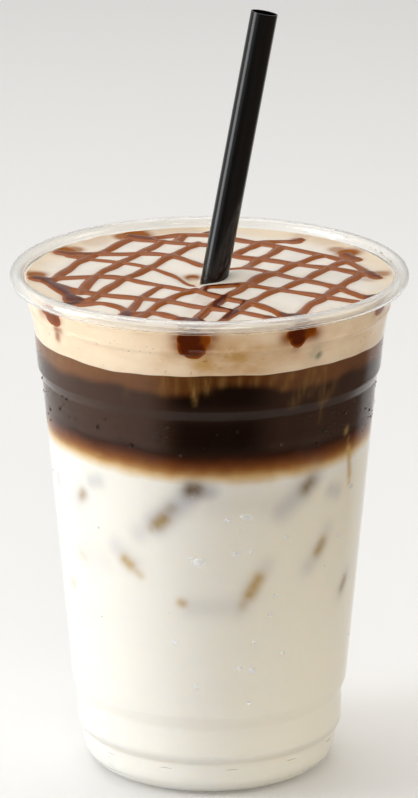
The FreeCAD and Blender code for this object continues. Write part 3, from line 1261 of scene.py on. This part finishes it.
@dataclass
class Drizzle:
    """Sauce crossing the foam in two sets of lines, with pools where they reach the wall."""

    radius: float
    step: float = 0.36
    thick: float = 0.5
    steep: tuple[SauceLine, ...] = (
        SauceLine(((-38.5, -3), (-34.5, 8), (-31, 16.5), (-26, 24), (-20.5, 34))),
        SauceLine(((-31.5, -14), (-28, 0), (-22.5, 12), (-17, 22), (-11.5, 33))),
        SauceLine(((-29, -20), (-26, -13), (-21, -2), (-15, 8), (-10.5, 17), (-5, 27), (-3, 31))),
        SauceLine(((-20, -34), (-17.5, -23), (-15.5, -16), (-11.5, -8)), 1.05, 0.2),
        SauceLine(((-17, -36), (-12, -24), (-8, -17), (-3.5, -11))),
        SauceLine(((-4.5, -44), (-3, -37), (-0.5, -28), (2.5, -20), (5.5, -14), (9, -8), (13, -1))),
        SauceLine(((13, -1), (17, 5), (21, 11), (28, 20))),
        SauceLine(((1, -44), (3.5, -37), (6.5, -30), (9.5, -23), (13, -16.5), (17, -11), (20.5, -6))),
        SauceLine(((20.5, -6), (24.5, 0), (28, 6), (33, 14))),
        SauceLine(((20, -37), (24, -25), (27.5, -18), (30.5, -11), (34, -4), (36.5, 1))),
        SauceLine(((6.5, 21), (9, 25), (12, 30))),
        SauceLine(((8.5, 6), (11, 13), (14.5, 19), (17.5, 26))),
        SauceLine(((-9, 31), (-8, 34), (-6.5, 38))),
    )
    shallow: tuple[SauceLine, ...] = (
        SauceLine(((-15, 35.5), (-9, 38.5), (-3, 38), (3, 37))),
        SauceLine(((3, 37), (7, 34), (12, 31), (18, 27), (25, 22), (30, 19), (35, 13), (40.5, 0))),
        SauceLine(((13, 31.5), (18, 33), (22, 32.5))),
        SauceLine(((-19, 35), (-13, 33), (-8, 31), (0, 29))),
        SauceLine(((-36, 22), (-30, 21), (-20, 21), (-13, 20), (-9, 18.5), (-5, 14.5), (-1.5, 10))),
        SauceLine(((4, 21), (10, 17), (15, 14.5), (22, 11), (29, 8.5), (34, 5), (38, 1.5))),
        SauceLine(((-35, 18.5), (-28, 16), (-22, 13), (-15, 8.5), (-10, 3), (-6.5, -2), (-4, -6)), 0.85),
        SauceLine(((5, 4.5), (11, 4.5), (16, 3), (22, -1.5), (27, -5.5), (31, -9), (35, -14))),
        SauceLine(((35, -14), (38, -17.5), (42, -19))),
        SauceLine(((-41, -1.5), (-33, -1), (-27, 0), (-21, -1.5), (-16, -5), (-11, -8), (-5, -12))),
        SauceLine(((-1, -9), (4, -7.8), (9, -7.5), (14, -10), (20, -13), (26, -16), (36, -22))),
        SauceLine(((-38, -6), (-34, -10), (-29, -13.5), (-22, -17), (-15, -20), (-9, -22), (-3, -26))),
        SauceLine(((-3, -26), (2, -28.5), (8, -31), (13, -34), (16, -36))),
        SauceLine(((-2, -13), (2, -16.5), (6, -20), (10, -23), (14, -27.5), (18, -33.5), (21.5, -39))),
        SauceLine(((-31, -24), (-26, -23), (-22, -26), (-19.5, -31))),
        SauceLine(((-18, -32), (-13, -31), (-9, -34), (-5.5, -38))),
    )
    runs: tuple[SauceLine, ...] = (
        SauceLine(((-40, -3), (-36, -11), (-33.5, -18), (-32, -23)), 1.7, 0.75),
        SauceLine(((-0.5, -9), (-1.2, -12), (1, -15), (3.8, -17)), 0.6, 1.0),
        SauceLine(((3.8, -17), (2.4, -21.5), (1.6, -26), (4, -28.5), (6, -31), (3.4, -37)), 1.0, 1.0),
        SauceLine(((3.8, -17), (8, -20.5), (8.2, -23), (6, -27.5)), 0.5, 0.8),
        SauceLine(((0, -9), (4.5, -7.8), (7, -7.8)), 0.5, 0.8),
        SauceLine(((-32, -23), (-35, -24), (-38.5, -22.5)), 1.5, 0.8),
        SauceLine(((20, -34), (21.5, -37), (22, -39)), 1.8, 0.8),
        SauceLine(((-4, -40), (-4, -44)), 3.0, 0.9),
        SauceLine(((39, -18), (42.5, -17.5)), 1.6, 0.7),
    )
    pools: tuple[SauceLine, ...] = (
        SauceLine(((-42, -1), (-40, -2.5)), 2.2, 0.6),
        SauceLine(((-37, 21.4), (-30, 20.4)), 1.7, 0.4),
        SauceLine(((-20, 37), (-15, 34.6)), 1.8, 0.45),
        SauceLine(((21, 32.6), (22.8, 34.0)), 1.4, 0.35),
        SauceLine(((34, 20.5), (36.5, 16)), 1.5, 0.4),
        SauceLine(((39.5, 3), (41, -0.5)), 1.6, 0.5),
        SauceLine(((-33.5, -18), (-32.5, -20)), 2.2, 0.85),
        SauceLine(((-20, -32), (-20, -35)), 1.7, 0.6),
        SauceLine(((17.5, -32.5), (19, -35)), 1.5, 0.55),
        SauceLine(((-7, -36.5), (-5, -38)), 1.7, 0.5),
        SauceLine(((-1, 39.5), (1.5, 41)), 1.4, 0.4),
        SauceLine(((14, -34.5), (16, -36.5)), 1.3, 0.4),
    )

    def field(self) -> SauceField:
        """Sauce over the whole top of the foam.

        Returns:
            The sheet with all lines, runs and pools.
        """
        side = np.arange(-self.radius, self.radius + self.step, self.step)
        across, along = np.meshgrid(side, side)
        sauce = SauceField(across, along, self.thick)
        for line in (*self.steep, *self.shallow, *self.runs, *self.pools):
            sauce.add(line)
        sauce.settle()
        sauce.lift[np.hypot(across, along) > self.radius - 0.15] = -sauce.sink
        return sauce


@dataclass
class Foam:
    """Foam on the coffee, its top swelling round the straw."""

    wall: Wall
    drizzle: Drizzle
    level: float = FOAM_LEVEL
    segments: int = 420
    side_rows: int = 30
    top_rows: int = 116
    rim_rise: float = 0.45
    plumes: tuple[tuple[float, float, float, float], ...] = (
        (-18.5, 38.6, 3.6, 1.0),
        (-21.5, 36.8, 2.4, 0.9),
        (-36.2, 23.4, 3.2, 1.0),
        (-33.6, 25.0, 2.0, 0.8),
        (-42.6, 2.6, 2.4, 0.95),
        (34.6, 22.6, 2.8, 1.0),
        (32.0, 25.2, 2.0, 0.7),
        (22.2, 34.4, 1.8, 0.7),
        (24.0, 38.0, 2.6, 0.3),
        (2.6, 39.4, 2.4, 0.8),
        (42.0, 3.4, 2.2, 0.75),
        (39.0, -1.0, 2.2, 0.4),
        (-4.2, 1.8, 1.7, 1.0),
        (-3.4, -3.2, 1.2, 1.0),
        (30.0, 33.0, 4.0, 0.22),
        (-29.0, 33.0, 4.0, 0.25),
        (-8.0, 43.0, 5.0, 0.2),
        (19.5, -33.5, 2.0, 0.5),
        (-20.0, -34.0, 2.2, 0.5),
        (1.0, -23.0, 2.6, 0.3),
    )
    drips: tuple[WallMark, ...] = (
        WallMark(-56.6, 117.6, 76, 2.4, 1.1, 0, 0.85),
        WallMark(-55.6, 118.8, 0, 2.0, 0.9, 0, 0.7),
        WallMark(-60.5, 121.4, 0, 8.0, 1.6, 0, 0.5),
        WallMark(-5.0, 120.6, 0, 5.0, 2.1, 0, 1.0),
        WallMark(-4.6, 122.6, 0, 7.4, 1.7, 0, 0.8),
        WallMark(29.6, 121.4, 0, 6.4, 2.0, 0, 1.0),
        WallMark(28.0, 118.9, 80, 1.0, 1.3, 0, 0.5),
        WallMark(68.6, 121.4, 0, 5.0, 1.4, 0, 0.5),
        WallMark(150.0, 119.5, 0, 4.0, 2.4, 0, 0.5),
        WallMark(215.0, 119.0, 0, 5.0, 2.4, 0, 0.5),
    )
    tan: tuple[WallMark, ...] = (
        WallMark(6.0, 117.0, 0, 9.0, 5.4, 0, 1.0),
        WallMark(-8.0, 118.0, 0, 6.0, 4.0, 0, 0.5),
        WallMark(22.0, 118.6, 0, 10.0, 5.0, 0, 0.5),
        WallMark(46.0, 118.4, 0, 18.0, 5.0, 0, 0.22),
        WallMark(150.0, 118.4, 0, 18.0, 5.0, 0, 0.5),
        WallMark(225.0, 118.4, 0, 18.0, 5.0, 0, 0.4),
    )
    ice_spot: tuple[WallMark, ...] = (
        WallMark(37.0, 115.4, 60, 0.5, 0.85, 0, 0.85),
        WallMark(35.6, 116.8, 60, 2.4, 1.6, 0, 0.25),
    )

    def height(self, across: np.ndarray, along: np.ndarray) -> np.ndarray:
        """Height of the top at points, without sauce.

        Args:
            across: how far to the right, in millimetres.
            along: how far to the back, in millimetres.

        Returns:
            A height for each point.
        """
        reach = np.hypot(across, along)
        rim = self.rim_rise * np.exp(-np.clip(self.drizzle.radius - reach, 0, None) / 1.3)
        swell = 0.16 * np.sin(across * 0.21 + 1.0) * np.cos(along * 0.17)
        ripple = 0.09 * np.sin(across * 0.5 + along * 0.43)
        mound = 1.5 * np.exp(-(((across - 8.0) / 5.5) ** 2) - ((along - 0.5) / 5.0) ** 2)
        hollow = -1.3 * np.exp(-(((across + 3.6) / 3.2) ** 2) - ((along + 2.0) / 5.0) ** 2)
        return self.level + rim + swell + ripple + mound + hollow

    def stain(self, points: np.ndarray, sauce: SauceField) -> np.ndarray:
        """How far sauce has soaked into the foam at points.

        Args:
            points: rows of three coordinates in millimetres.
            sauce: the sheet of sauce on the top.

        Returns:
            A strength from 0 to 1 for each point.
        """
        step = self.drizzle.step
        cells = ((points[:, :2] + self.drizzle.radius) / step).astype(int)
        column = np.clip(cells[:, 0], 0, sauce.near.shape[1] - 1)
        row = np.clip(cells[:, 1], 0, sauce.near.shape[0] - 1)
        fringe = 0.4 * np.exp(-np.clip(sauce.near[row, column], 0, None) / 0.6)
        on_top = np.clip((points[:, 2] - self.level + 1.2) / 0.6, 0, 1)
        total = fringe * on_top
        for across, along, size, strength in self.plumes:
            away = np.hypot(points[:, 0] - across, points[:, 1] - along) / size
            total = np.maximum(total, strength * np.minimum(2.0 * np.exp(-(away**2)), 1) * on_top)
        return np.maximum(total, gather(self.drips, points))

    def build(self, sauce: SauceField) -> bpy.types.Object:
        """The foam: wavy foot, side on the wall, uneven top.

        Args:
            sauce: the sheet of sauce that stains it.

        Returns:
            The piece.
        """
        angles = around(self.segments)
        foot = foam_foot(angles)
        edge = self.level + self.rim_rise
        rows = [pole(FOAM_FOOT), ring(angles, self.wall.radius(CAP_LEVEL) * 0.5, FOAM_FOOT)]
        for share in np.linspace(0, 1, self.side_rows):
            height = foot + (edge - foot) * share
            rows.append(ring(angles, self.wall.radius(height) + INTO_WALL, height))
        outer = self.drizzle.radius
        for radius in np.linspace(outer, 0, self.top_rows, endpoint=False):
            flat = ring(angles, radius, 0.0)
            flat[:, 2] = self.height(flat[:, 0], flat[:, 1])
            rows.append(flat)
        centre = pole(0.0)
        centre[:, 2] = self.height(centre[:, 0], centre[:, 1])
        rows.append(centre)
        points, faces = lathe(rows)
        masks = {
            Mask.STAIN: self.stain(points, sauce),
            Mask.TAN: gather(self.tan, points),
            Mask.ICE: gather(self.ice_spot, points),
        }
        piece = new_object("foam_body", points, faces, masks)
        dress(piece, FoamFinish().build(), "foam")
        return piece

    def lay_sauce(self, sauce: SauceField) -> bpy.types.Object:
        """The drizzle as a skin on the top of the foam.

        Args:
            sauce: the sheet of sauce.

        Returns:
            The piece.
        """

        def embed(across: np.ndarray, along: np.ndarray, lift: np.ndarray) -> np.ndarray:
            """Points above the foam."""
            return np.stack([across, along, self.height(across, along) + lift], 1)

        piece = sauce.skin("sauce_lines", embed)
        dress(piece, SauceFinish().build())
        return piece


@dataclass
class WallSauce:
    """Sauce that has run down between the foam and the wall."""

    wall: Wall
    step: float = 0.2
    thick: float = 0.14
    sink: float = 0.1
    radius: float = 44.4
    half_span: float = 10.0
    low: float = 114.0
    high: float = 125.1
    drips: tuple[tuple[float, float, float, float, float], ...] = (
        (-60.0, -56.5, 121.9, 2.1, 0.3),
        (-57.0, -55.6, 121.0, 1.5, 0.3),
        (-64.0, -60.0, 122.4, 1.2, 0.25),
        (-7.8, -5.4, 122.0, 2.1, 1.0),
        (-4.6, -1.9, 122.0, 2.1, 0.2),
        (-7.0, -6.2, 120.0, 2.2, 1.0),
        (-5.6, -3.4, 119.6, 2.2, 0.7),
        (26.4, 29.0, 122.0, 1.9, 0.7),
        (29.4, 33.2, 122.2, 1.7, 0.3),
        (27.8, 29.4, 120.5, 1.7, 0.75),
        (66.0, 71.0, 121.9, 1.5, 0.25),
        (148.0, 153.0, 121.4, 2.4, 0.8),
        (212.0, 218.0, 121.2, 2.4, 0.8),
    )

    def build(self) -> list[bpy.types.Object]:
        """One patch for each group of drips.

        Returns:
            The patches.
        """
        groups: dict[int, list[tuple]] = {}
        for drip in self.drips:
            groups.setdefault(round((drip[0] + drip[1]) / 60), []).append(drip)
        pieces = []
        material = SauceFinish("wall_sauce_finish", roughness=0.3, thin=Tone.WALL_SAUCE, gloss=0.0).build()
        for index, group in enumerate(groups.values(), 1):
            piece = self.patch("wall_sauce_%d" % index, group)
            dress(piece, material)
            pieces.append(piece)
        return pieces

    def patch(self, name: str, group: list[tuple]) -> bpy.types.Object:
        """One group of drips as a thin skin against the wall.

        Args:
            name: name of the piece.
            group: start, end, height, half width and darkness of each drip.

        Returns:
            The piece.
        """
        middle = sum(drip[0] for drip in group) / len(group)
        side = np.arange(-self.half_span, self.half_span, self.step)
        across, along = np.meshgrid(side, np.arange(self.low, self.high, self.step))
        sauce = SauceField(across, along, self.thick, self.sink)
        for start, end, height, half, dark in group:
            ends = [math.radians(turn - middle) * self.radius for turn in (start, end)]
            sauce.add(SauceLine(((ends[0], height), (ends[1], height + 0.2)), half, dark))
        sauce.lift += 0.02 * np.sin(across * 2.1) * np.sin(along * 1.7 + 0.5)
        sauce.settle(4)

        def embed(side: np.ndarray, height: np.ndarray, lift: np.ndarray) -> np.ndarray:
            """Points a little way into the wall.

            Args:
                side: how far round the wall, in millimetres.
                height: heights in millimetres.
                lift: thickness of the sauce.

            Returns:
                Rows of three coordinates.
            """
            angles = np.radians(middle) + side / self.radius
            reach = self.wall.radius(height) + INTO_WALL + lift * 0.5
            return np.stack([reach * np.sin(angles), -reach * np.cos(angles), height], 1)

        return sauce.skin(name, embed)


Socket = bpy.types.NodeSocket


@dataclass
class DropTree:
    """Node tree that sets a flattened bead of water on every point it is given."""

    name: str
    flatness: float
    detail: int

    def build(self, material: bpy.types.Material) -> tuple[bpy.types.NodeTree, dict[str, str]]:
        """The tree, and the identifiers of its inputs by name.

        Args:
            material: finish of the beads.

        Returns:
            The tree and the identifiers.
        """
        tree = bpy.data.node_groups.new(self.name, "GeometryNodeTree")
        face = tree.interface
        face.new_socket("Geometry", in_out="INPUT", socket_type="NodeSocketGeometry")
        inputs = {}
        for label, value in (("Flatness", self.flatness), ("Size", 1.0)):
            socket = face.new_socket(label, in_out="INPUT", socket_type="NodeSocketFloat")
            socket.default_value = value
            inputs[label] = socket.identifier
        face.new_socket("Geometry", in_out="OUTPUT", socket_type="NodeSocketGeometry")
        node, link = tree.nodes.new, tree.links.new
        entry, leave = node("NodeGroupInput"), node("NodeGroupOutput")
        bead = node("GeometryNodeMeshIcoSphere")
        bead.inputs["Radius"].default_value = MM
        bead.inputs["Subdivisions"].default_value = self.detail
        smooth = node("GeometryNodeSetShadeSmooth")
        link(bead.outputs[0], smooth.inputs[0])
        size = self.named(tree, "drop_size", "FLOAT")
        tall = self.named(tree, "drop_tall", "FLOAT")
        outward = self.named(tree, "drop_out", "FLOAT_VECTOR")
        grown = self.times(tree, size, entry.outputs["Size"])
        shape = node("ShaderNodeCombineXYZ")
        link(grown, shape.inputs[0])
        link(self.times(tree, grown, tall), shape.inputs[1])
        link(self.times(tree, grown, entry.outputs["Flatness"]), shape.inputs[2])
        face_out = node("FunctionNodeAlignRotationToVector")
        face_out.axis = "Z"
        face_out.pivot_axis = "AUTO"
        link(outward, face_out.inputs["Vector"])
        place = node("GeometryNodeInstanceOnPoints")
        link(entry.outputs["Geometry"], place.inputs["Points"])
        link(smooth.outputs[0], place.inputs["Instance"])
        link(face_out.outputs[0], place.inputs["Rotation"])
        link(shape.outputs[0], place.inputs["Scale"])
        real = node("GeometryNodeRealizeInstances")
        link(place.outputs[0], real.inputs[0])
        paint = node("GeometryNodeSetMaterial")
        paint.inputs["Material"].default_value = material
        link(real.outputs[0], paint.inputs["Geometry"])
        link(paint.outputs[0], leave.inputs[0])
        return tree, inputs

    @staticmethod
    def named(tree: bpy.types.NodeTree, name: str, kind: str) -> Socket:
        """Value carried on the points.

        Args:
            tree: the tree it is added to.
            name: name of the value.
            kind: its data type.

        Returns:
            The value.
        """
        node = tree.nodes.new("GeometryNodeInputNamedAttribute")
        node.data_type = kind
        node.inputs["Name"].default_value = name
        return node.outputs["Attribute"]

    @staticmethod
    def times(tree: bpy.types.NodeTree, first: Socket, second: Socket) -> Socket:
        """Product of two values.

        Args:
            tree: the tree it is added to.
            first: one value.
            second: the other.

        Returns:
            The product.
        """
        node = tree.nodes.new("ShaderNodeMath")
        node.operation = "MULTIPLY"
        tree.links.new(first, node.inputs[0])
        tree.links.new(second, node.inputs[1])
        return node.outputs[0]


@dataclass
class Condensation:
    """Water on the outside of the cup: single drops, small beads and fine mist."""

    wall: Wall
    seed: int = 21
    single_count: int = 50
    bead_count: int = 170
    mist_count: int = 900
    cluster_count: int = 170
    growth: float = 1.25
    milk_top: float = 86.0
    drops: tuple[tuple[float, float, float, float], ...] = (
        (13.3, 75.6, 1.25, 0.5),
        (6.3, 75.0, 0.55, 0.8),
        (-3.6, 64.0, 1.15, 0.85),
        (-6.6, 65.0, 0.45, 1.0),
        (9.6, 66.0, 0.6, 0.9),
        (15.0, 66.6, 0.45, 1.0),
        (29.0, 69.0, 0.4, 1.0),
        (-13.2, 42.5, 0.45, 1.0),
        (-5.0, 31.0, 0.65, 0.8),
        (12.0, 35.6, 0.5, 0.9),
        (17.0, 34.6, 0.7, 0.9),
        (17.6, 42.2, 0.6, 0.5),
        (30.0, 38.2, 0.4, 1.0),
        (16.2, 26.0, 0.4, 1.0),
        (55.0, 65.4, 0.5, 0.7),
        (23.5, 49.0, 0.5, 0.6),
        (25.5, 54.0, 0.4, 0.9),
        (62.0, 77.0, 0.45, 1.3),
        (-41.4, 96.0, 0.5, 0.9),
        (-27.6, 93.0, 0.6, 0.8),
        (-16.8, 96.2, 0.4, 0.9),
        (-14.2, 98.8, 0.4, 0.8),
        (-62.5, 97.0, 0.4, 0.8),
        (25.3, 93.6, 0.4, 1.0),
        (43.2, 95.0, 0.45, 1.0),
        (53.0, 97.8, 0.4, 1.0),
        (-9.8, 91.8, 0.35, 0.9),
    )

    def spots(self, count: int, low: float, high: float, smallest: float, largest: float) -> np.ndarray:
        """Random spots on the wall, thicker to the sides of the cup than in front.

        Args:
            count: how many.
            low: lowest height.
            high: greatest height.
            smallest: least radius.
            largest: greatest radius.

        Returns:
            Rows of angle in degrees, height, radius and stretch.
        """
        draw = np.random.default_rng(self.seed + count)
        turn = draw.uniform(-180, 180, count * 3)
        keep = draw.uniform(0, 1, count * 3) < 0.25 + 0.75 * (np.abs(np.sin(np.radians(turn))) > 0.72)
        turn = turn[keep][:count]
        height = draw.uniform(low, high, len(turn))
        size = smallest + (largest - smallest) * draw.power(0.6, len(turn)) ** 2
        return np.stack([turn, height, size, draw.uniform(0.8, 1.3, len(turn))], 1)

    def cluster(self, count: int) -> np.ndarray:
        """Groups of small beads towards both sides of the coffee.

        Args:
            count: how many beads in all.

        Returns:
            Rows of angle in degrees, height, radius and stretch.
        """
        draw = np.random.default_rng(self.seed)
        middle = draw.choice([-56.0, -47.0, -31.0, -27.0, -17.0, 44.0, 53.0], count)
        turn = middle + draw.normal(0, 3.6, count)
        height = 95.6 + draw.normal(0, 1.9, count)
        return np.stack([turn, height, draw.uniform(0.07, 0.2, count), draw.uniform(0.8, 1.3, count)], 1)

    def points_object(self, name: str, rows: np.ndarray) -> bpy.types.Object:
        """Loose points on the outer face of the wall that carry size and direction.

        Args:
            name: name of the object.
            rows: angle, height, radius and stretch of each point.

        Returns:
            The object.
        """
        angles = np.radians(rows[:, 0])
        reach = self.wall.outer(rows[:, 1])
        places = np.stack([reach * np.sin(angles), -reach * np.cos(angles), rows[:, 1]], 1) * MM
        outward = np.stack([np.sin(angles), -np.cos(angles), np.full(len(angles), -0.09)], 1)
        mesh = bpy.data.meshes.new(name)
        mesh.from_pydata(places.tolist(), [], [])
        for label, kind, key, values in (
            ("drop_size", "FLOAT", "value", rows[:, 2]),
            ("drop_tall", "FLOAT", "value", rows[:, 3]),
            ("drop_out", "FLOAT_VECTOR", "vector", outward.ravel()),
        ):
            mesh.attributes.new(label, kind, "POINT").data.foreach_set(key, values.astype(np.float32))
        piece = bpy.data.objects.new(name, mesh)
        bpy.context.scene.collection.objects.link(piece)
        return piece

    def bead_piece(
        self, name: str, rows: np.ndarray, detail: int, flatness: float, finish: ClearFinish
    ) -> bpy.types.Object:
        """Beads of water on the given spots as one plain mesh.

        Args:
            name: name of the piece.
            rows: angle, height, radius and stretch of each bead.
            detail: fineness of a bead.
            flatness: depth of a bead for its width.
            finish: its material.

        Returns:
            The piece.
        """
        holder = self.points_object(name + "_points", rows)
        material = finish.build()
        tree, inputs = DropTree(name + "_tree", flatness, detail).build(material)
        modifier = holder.modifiers.new("beads", "NODES")
        modifier.node_group = tree
        modifier[inputs["Flatness"]] = flatness
        modifier[inputs["Size"]] = 1.0
        bpy.context.view_layer.update()
        evaluated = holder.evaluated_get(bpy.context.evaluated_depsgraph_get())
        mesh = bpy.data.meshes.new_from_object(evaluated)
        mesh.name = name
        holder.modifiers.remove(modifier)
        bpy.data.objects.remove(holder)
        piece = bpy.data.objects.new(name, mesh)
        bpy.context.scene.collection.objects.link(piece)
        dress(piece, material)
        return piece

    def build(self) -> list[bpy.types.Object]:
        """Drops, beads and mist.

        Returns:
            The three pieces.
        """
        # painted highlight: the drops over the milk are partly white and dull, so they show brighter than the
        # milk
        over_milk = ClearFinish("water_on_milk", Tone.WATER_HIGHLIGHT, ior=1.33, roughness=0.1, ripple=0.0, clear=0.4)
        # painted shade: the beads and mist over the coffee are tinted brown so they show dark
        water = ClearFinish("water_finish", Tone.BEAD_SHADE, ior=1.33, roughness=0.0, ripple=0.0)
        drops = np.array(self.drops) * (1.0, 1.0, self.growth, 1.0)
        low = drops[:, 1] < self.milk_top
        beads = np.vstack([drops[~low], self.spots(self.bead_count, 90, 101, 0.12, 0.42)])
        single = np.vstack([drops[low], self.spots(self.single_count, 30, 84, 0.1, 0.3)])
        fine = np.vstack([self.spots(self.mist_count, 89, 110, 0.05, 0.14), self.cluster(self.cluster_count)])
        return [
            self.bead_piece("water_drops", single, 3, 0.42, over_milk),
            self.bead_piece("water_beads", beads, 2, 0.7, water),
            self.bead_piece("water_mist", fine, 1, 0.6, water),
        ]


@dataclass
class Cup:
    """The cup itself: its solid is right as it is and gets its clear plastic."""

    finish: ClearFinish = ClearFinish(
        "cup_plastic",
        Tone.PLASTIC,
        ior=1.26,
        roughness=0.01,
        ripple=0.003,
        coat_from=124.8,
        frost=0.12,
        milky=0.17,
    )

    def dress(self) -> None:
        """Give the cup its material."""
        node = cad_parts["cup"]
        node.material_slots[0].material = self.finish.build()
        LOG.info("%s: dressed", node.name)


@dataclass
class Straw:
    """The straw: its solid is right as it is and gets black plastic."""

    finish: StrawFinish = StrawFinish()

    def dress(self) -> None:
        """Give the straw its material."""
        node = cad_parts["straw"]
        node.material_slots[0].material = self.finish.build()
        LOG.info("%s: dressed", node.name)


@dataclass(frozen=True)
class Softbox:
    """One soft light aimed at the cup."""

    name: str
    place: tuple[float, float, float]
    size: tuple[float, float]
    power: float
    colour: tuple[float, float, float] = (1.0, 1.0, 1.0)

    def build(self, target: tuple[float, float, float]) -> None:
        """Add the light.

        Args:
            target: what it is aimed at, in metres.
        """
        lamp = bpy.data.lights.new(self.name, "AREA")
        lamp.shape = "RECTANGLE"
        lamp.size, lamp.size_y = self.size
        lamp.energy = self.power
        lamp.color = self.colour
        holder = bpy.data.objects.new(self.name, lamp)
        holder.location = self.place
        holder.rotation_euler = aim(self.place, target)
        bpy.context.scene.collection.objects.link(holder)


def aim(place: tuple[float, float, float], target: tuple[float, float, float]) -> tuple[float, float, float]:
    """Rotation that points a light or camera from one place to another.

    Args:
        place: where the light or camera is, in metres.
        target: what it looks at, in metres.

    Returns:
        Turns about the three axes in radians.
    """
    return tuple((Vector(target) - Vector(place)).to_track_quat("-Z", "Y").to_euler())


@dataclass
class Studio:
    """Pale floor, soft light and the camera."""

    target: tuple[float, float, float] = (-0.0001, 0.0, 0.09357)
    distance: float = 1.2355
    elevation: float = 17.35
    lens: float = 225.6
    sensor: float = 36.0
    left: Softbox = Softbox("key_left", (-0.82, -0.09, 0.36), (0.4, 0.7), 3.3, (0.96, 0.985, 1.0))
    right: Softbox = Softbox("fill_right", (0.9, -0.1, 0.42), (0.4, 0.7), 1.1, (1.0, 0.92, 0.8))
    top: Softbox = Softbox("top_soft", (-0.1, 0.35, 1.1), (0.8, 0.8), 4.1)
    front: Softbox = Softbox("front_soft", (0.12, -1.2, 0.52), (0.8, 0.5), 3.4, (1.0, 0.96, 0.895))
    world_left: float = 0.56
    world_right: float = 0.44
    world_front: float = 0.3
    floor_half: float = 12.0
    floor_drop: float = 0.0001
    dark_side: tuple[float, float] = (20.0, 120.0)
    dark_reach: tuple[float, float] = (85.0, 170.0)
    warm: tuple[float, float, float] = (1.0, 0.96, 0.9)

    def build_floor(self) -> None:
        """Wide pale floor just under the foot, with painted shade in front and to the right that the cup and
        straw reflect.
        """
        mesh = bpy.data.meshes.new("studio_floor")
        ways = ((-1, -1), (1, -1), (1, 1), (-1, 1))
        corners = [(x * self.floor_half, y * self.floor_half, -self.floor_drop) for x, y in ways]
        mesh.from_pydata(corners, [], [(0, 1, 2, 3)])
        floor = bpy.data.objects.new("studio_floor", mesh)
        bpy.context.scene.collection.objects.link(floor)
        tree = Tree("floor_finish")
        across, along, _ = tree.axes()
        reach = (across * across + along * along).power(0.5)
        # painted shade: a darker patch of floor in front and to the right, so the cup's front and the straw
        # reflect darkness
        front_shade = tree.ramp(across - along, *self.dark_side) * tree.ramp(reach, *self.dark_reach)
        colour = tree.mix(Tone.FLOOR, Tone.WHITE, tree.noise(400.0) * 0.3)
        colour = tree.mix(colour, Tone.FLOOR_SHADE, front_shade)
        floor.data.materials.append(tree.finish(tree.principled({"Base Color": colour, "Roughness": 0.9})))

    def build_world(self) -> None:
        """Soft light from all sides, warmer and weaker from the right, weakest from the front."""
        world = bpy.data.worlds.new("studio_world")
        bpy.context.scene.world = world
        world.use_nodes = True
        nodes, links = world.node_tree.nodes, world.node_tree.links
        nodes.clear()
        place = nodes.new("ShaderNodeTexCoord")
        split = nodes.new("ShaderNodeSeparateXYZ")
        links.new(place.outputs["Generated"], split.inputs[0])
        share = nodes.new("ShaderNodeMapRange")
        share.interpolation_type = "SMOOTHSTEP"
        share.inputs["From Min"].default_value = -0.6
        share.inputs["From Max"].default_value = 0.7
        links.new(split.outputs[0], share.inputs["Value"])
        blend = nodes.new("ShaderNodeMix")
        blend.data_type = "RGBA"
        blend.inputs[6].default_value = (self.world_left,) * 3 + (1.0,)
        blend.inputs[7].default_value = tuple(part * self.world_right for part in self.warm) + (1.0,)
        links.new(share.outputs[0], blend.inputs[0])
        front = nodes.new("ShaderNodeMapRange")
        front.interpolation_type = "SMOOTHSTEP"
        for label, value in (("From Min", -0.9), ("From Max", -0.5), ("To Min", self.world_front)):
            front.inputs[label].default_value = value
        links.new(split.outputs[1], front.inputs["Value"])
        sky = nodes.new("ShaderNodeBackground")
        links.new(blend.outputs[2], sky.inputs["Color"])
        links.new(front.outputs[0], sky.inputs["Strength"])
        leave = nodes.new("ShaderNodeOutputWorld")
        links.new(sky.outputs[0], leave.inputs["Surface"])

    def build_camera(self) -> None:
        """Long lens from a little above, as the drink is shown."""
        lift = math.radians(self.elevation)
        away = (0.0, -math.cos(lift) * self.distance, math.sin(lift) * self.distance)
        place = tuple(here + there for here, there in zip(self.target, away))
        camera = bpy.data.cameras.new("camera")
        camera.lens = self.lens
        camera.sensor_width = self.sensor
        camera.clip_start = 0.05
        holder = bpy.data.objects.new("camera", camera)
        holder.location = place
        holder.rotation_euler = aim(place, self.target)
        bpy.context.scene.collection.objects.link(holder)
        bpy.context.scene.camera = holder

    def build(self) -> None:
        """Everything round the drink."""
        self.build_floor()
        self.build_world()
        for light in (self.left, self.right, self.top, self.front):
            light.build(self.target)
        self.build_camera()
        bpy.context.scene.view_settings.view_transform = "Standard"


def main() -> None:
    """Build and dress the drink, then the studio."""
    logging.basicConfig(level=logging.INFO, format="%(name)s %(message)s")
    wall = Wall()
    ice = IcePieces(wall)
    milky = MilkFinish().build()
    ice.build(milky)
    Milk(wall, ice).build(milky)
    Coffee(wall).build()
    drizzle = Drizzle(float(wall.radius(FOAM_LEVEL)) + TOP_REACH)
    sauce = drizzle.field()
    foam = Foam(wall, drizzle)
    foam.build(sauce)
    foam.lay_sauce(sauce)
    WallSauce(wall).build()
    Condensation(wall).build()
    Cup().dress()
    Straw().dress()
    Studio().build()


if __name__ == "__main__":
    main()
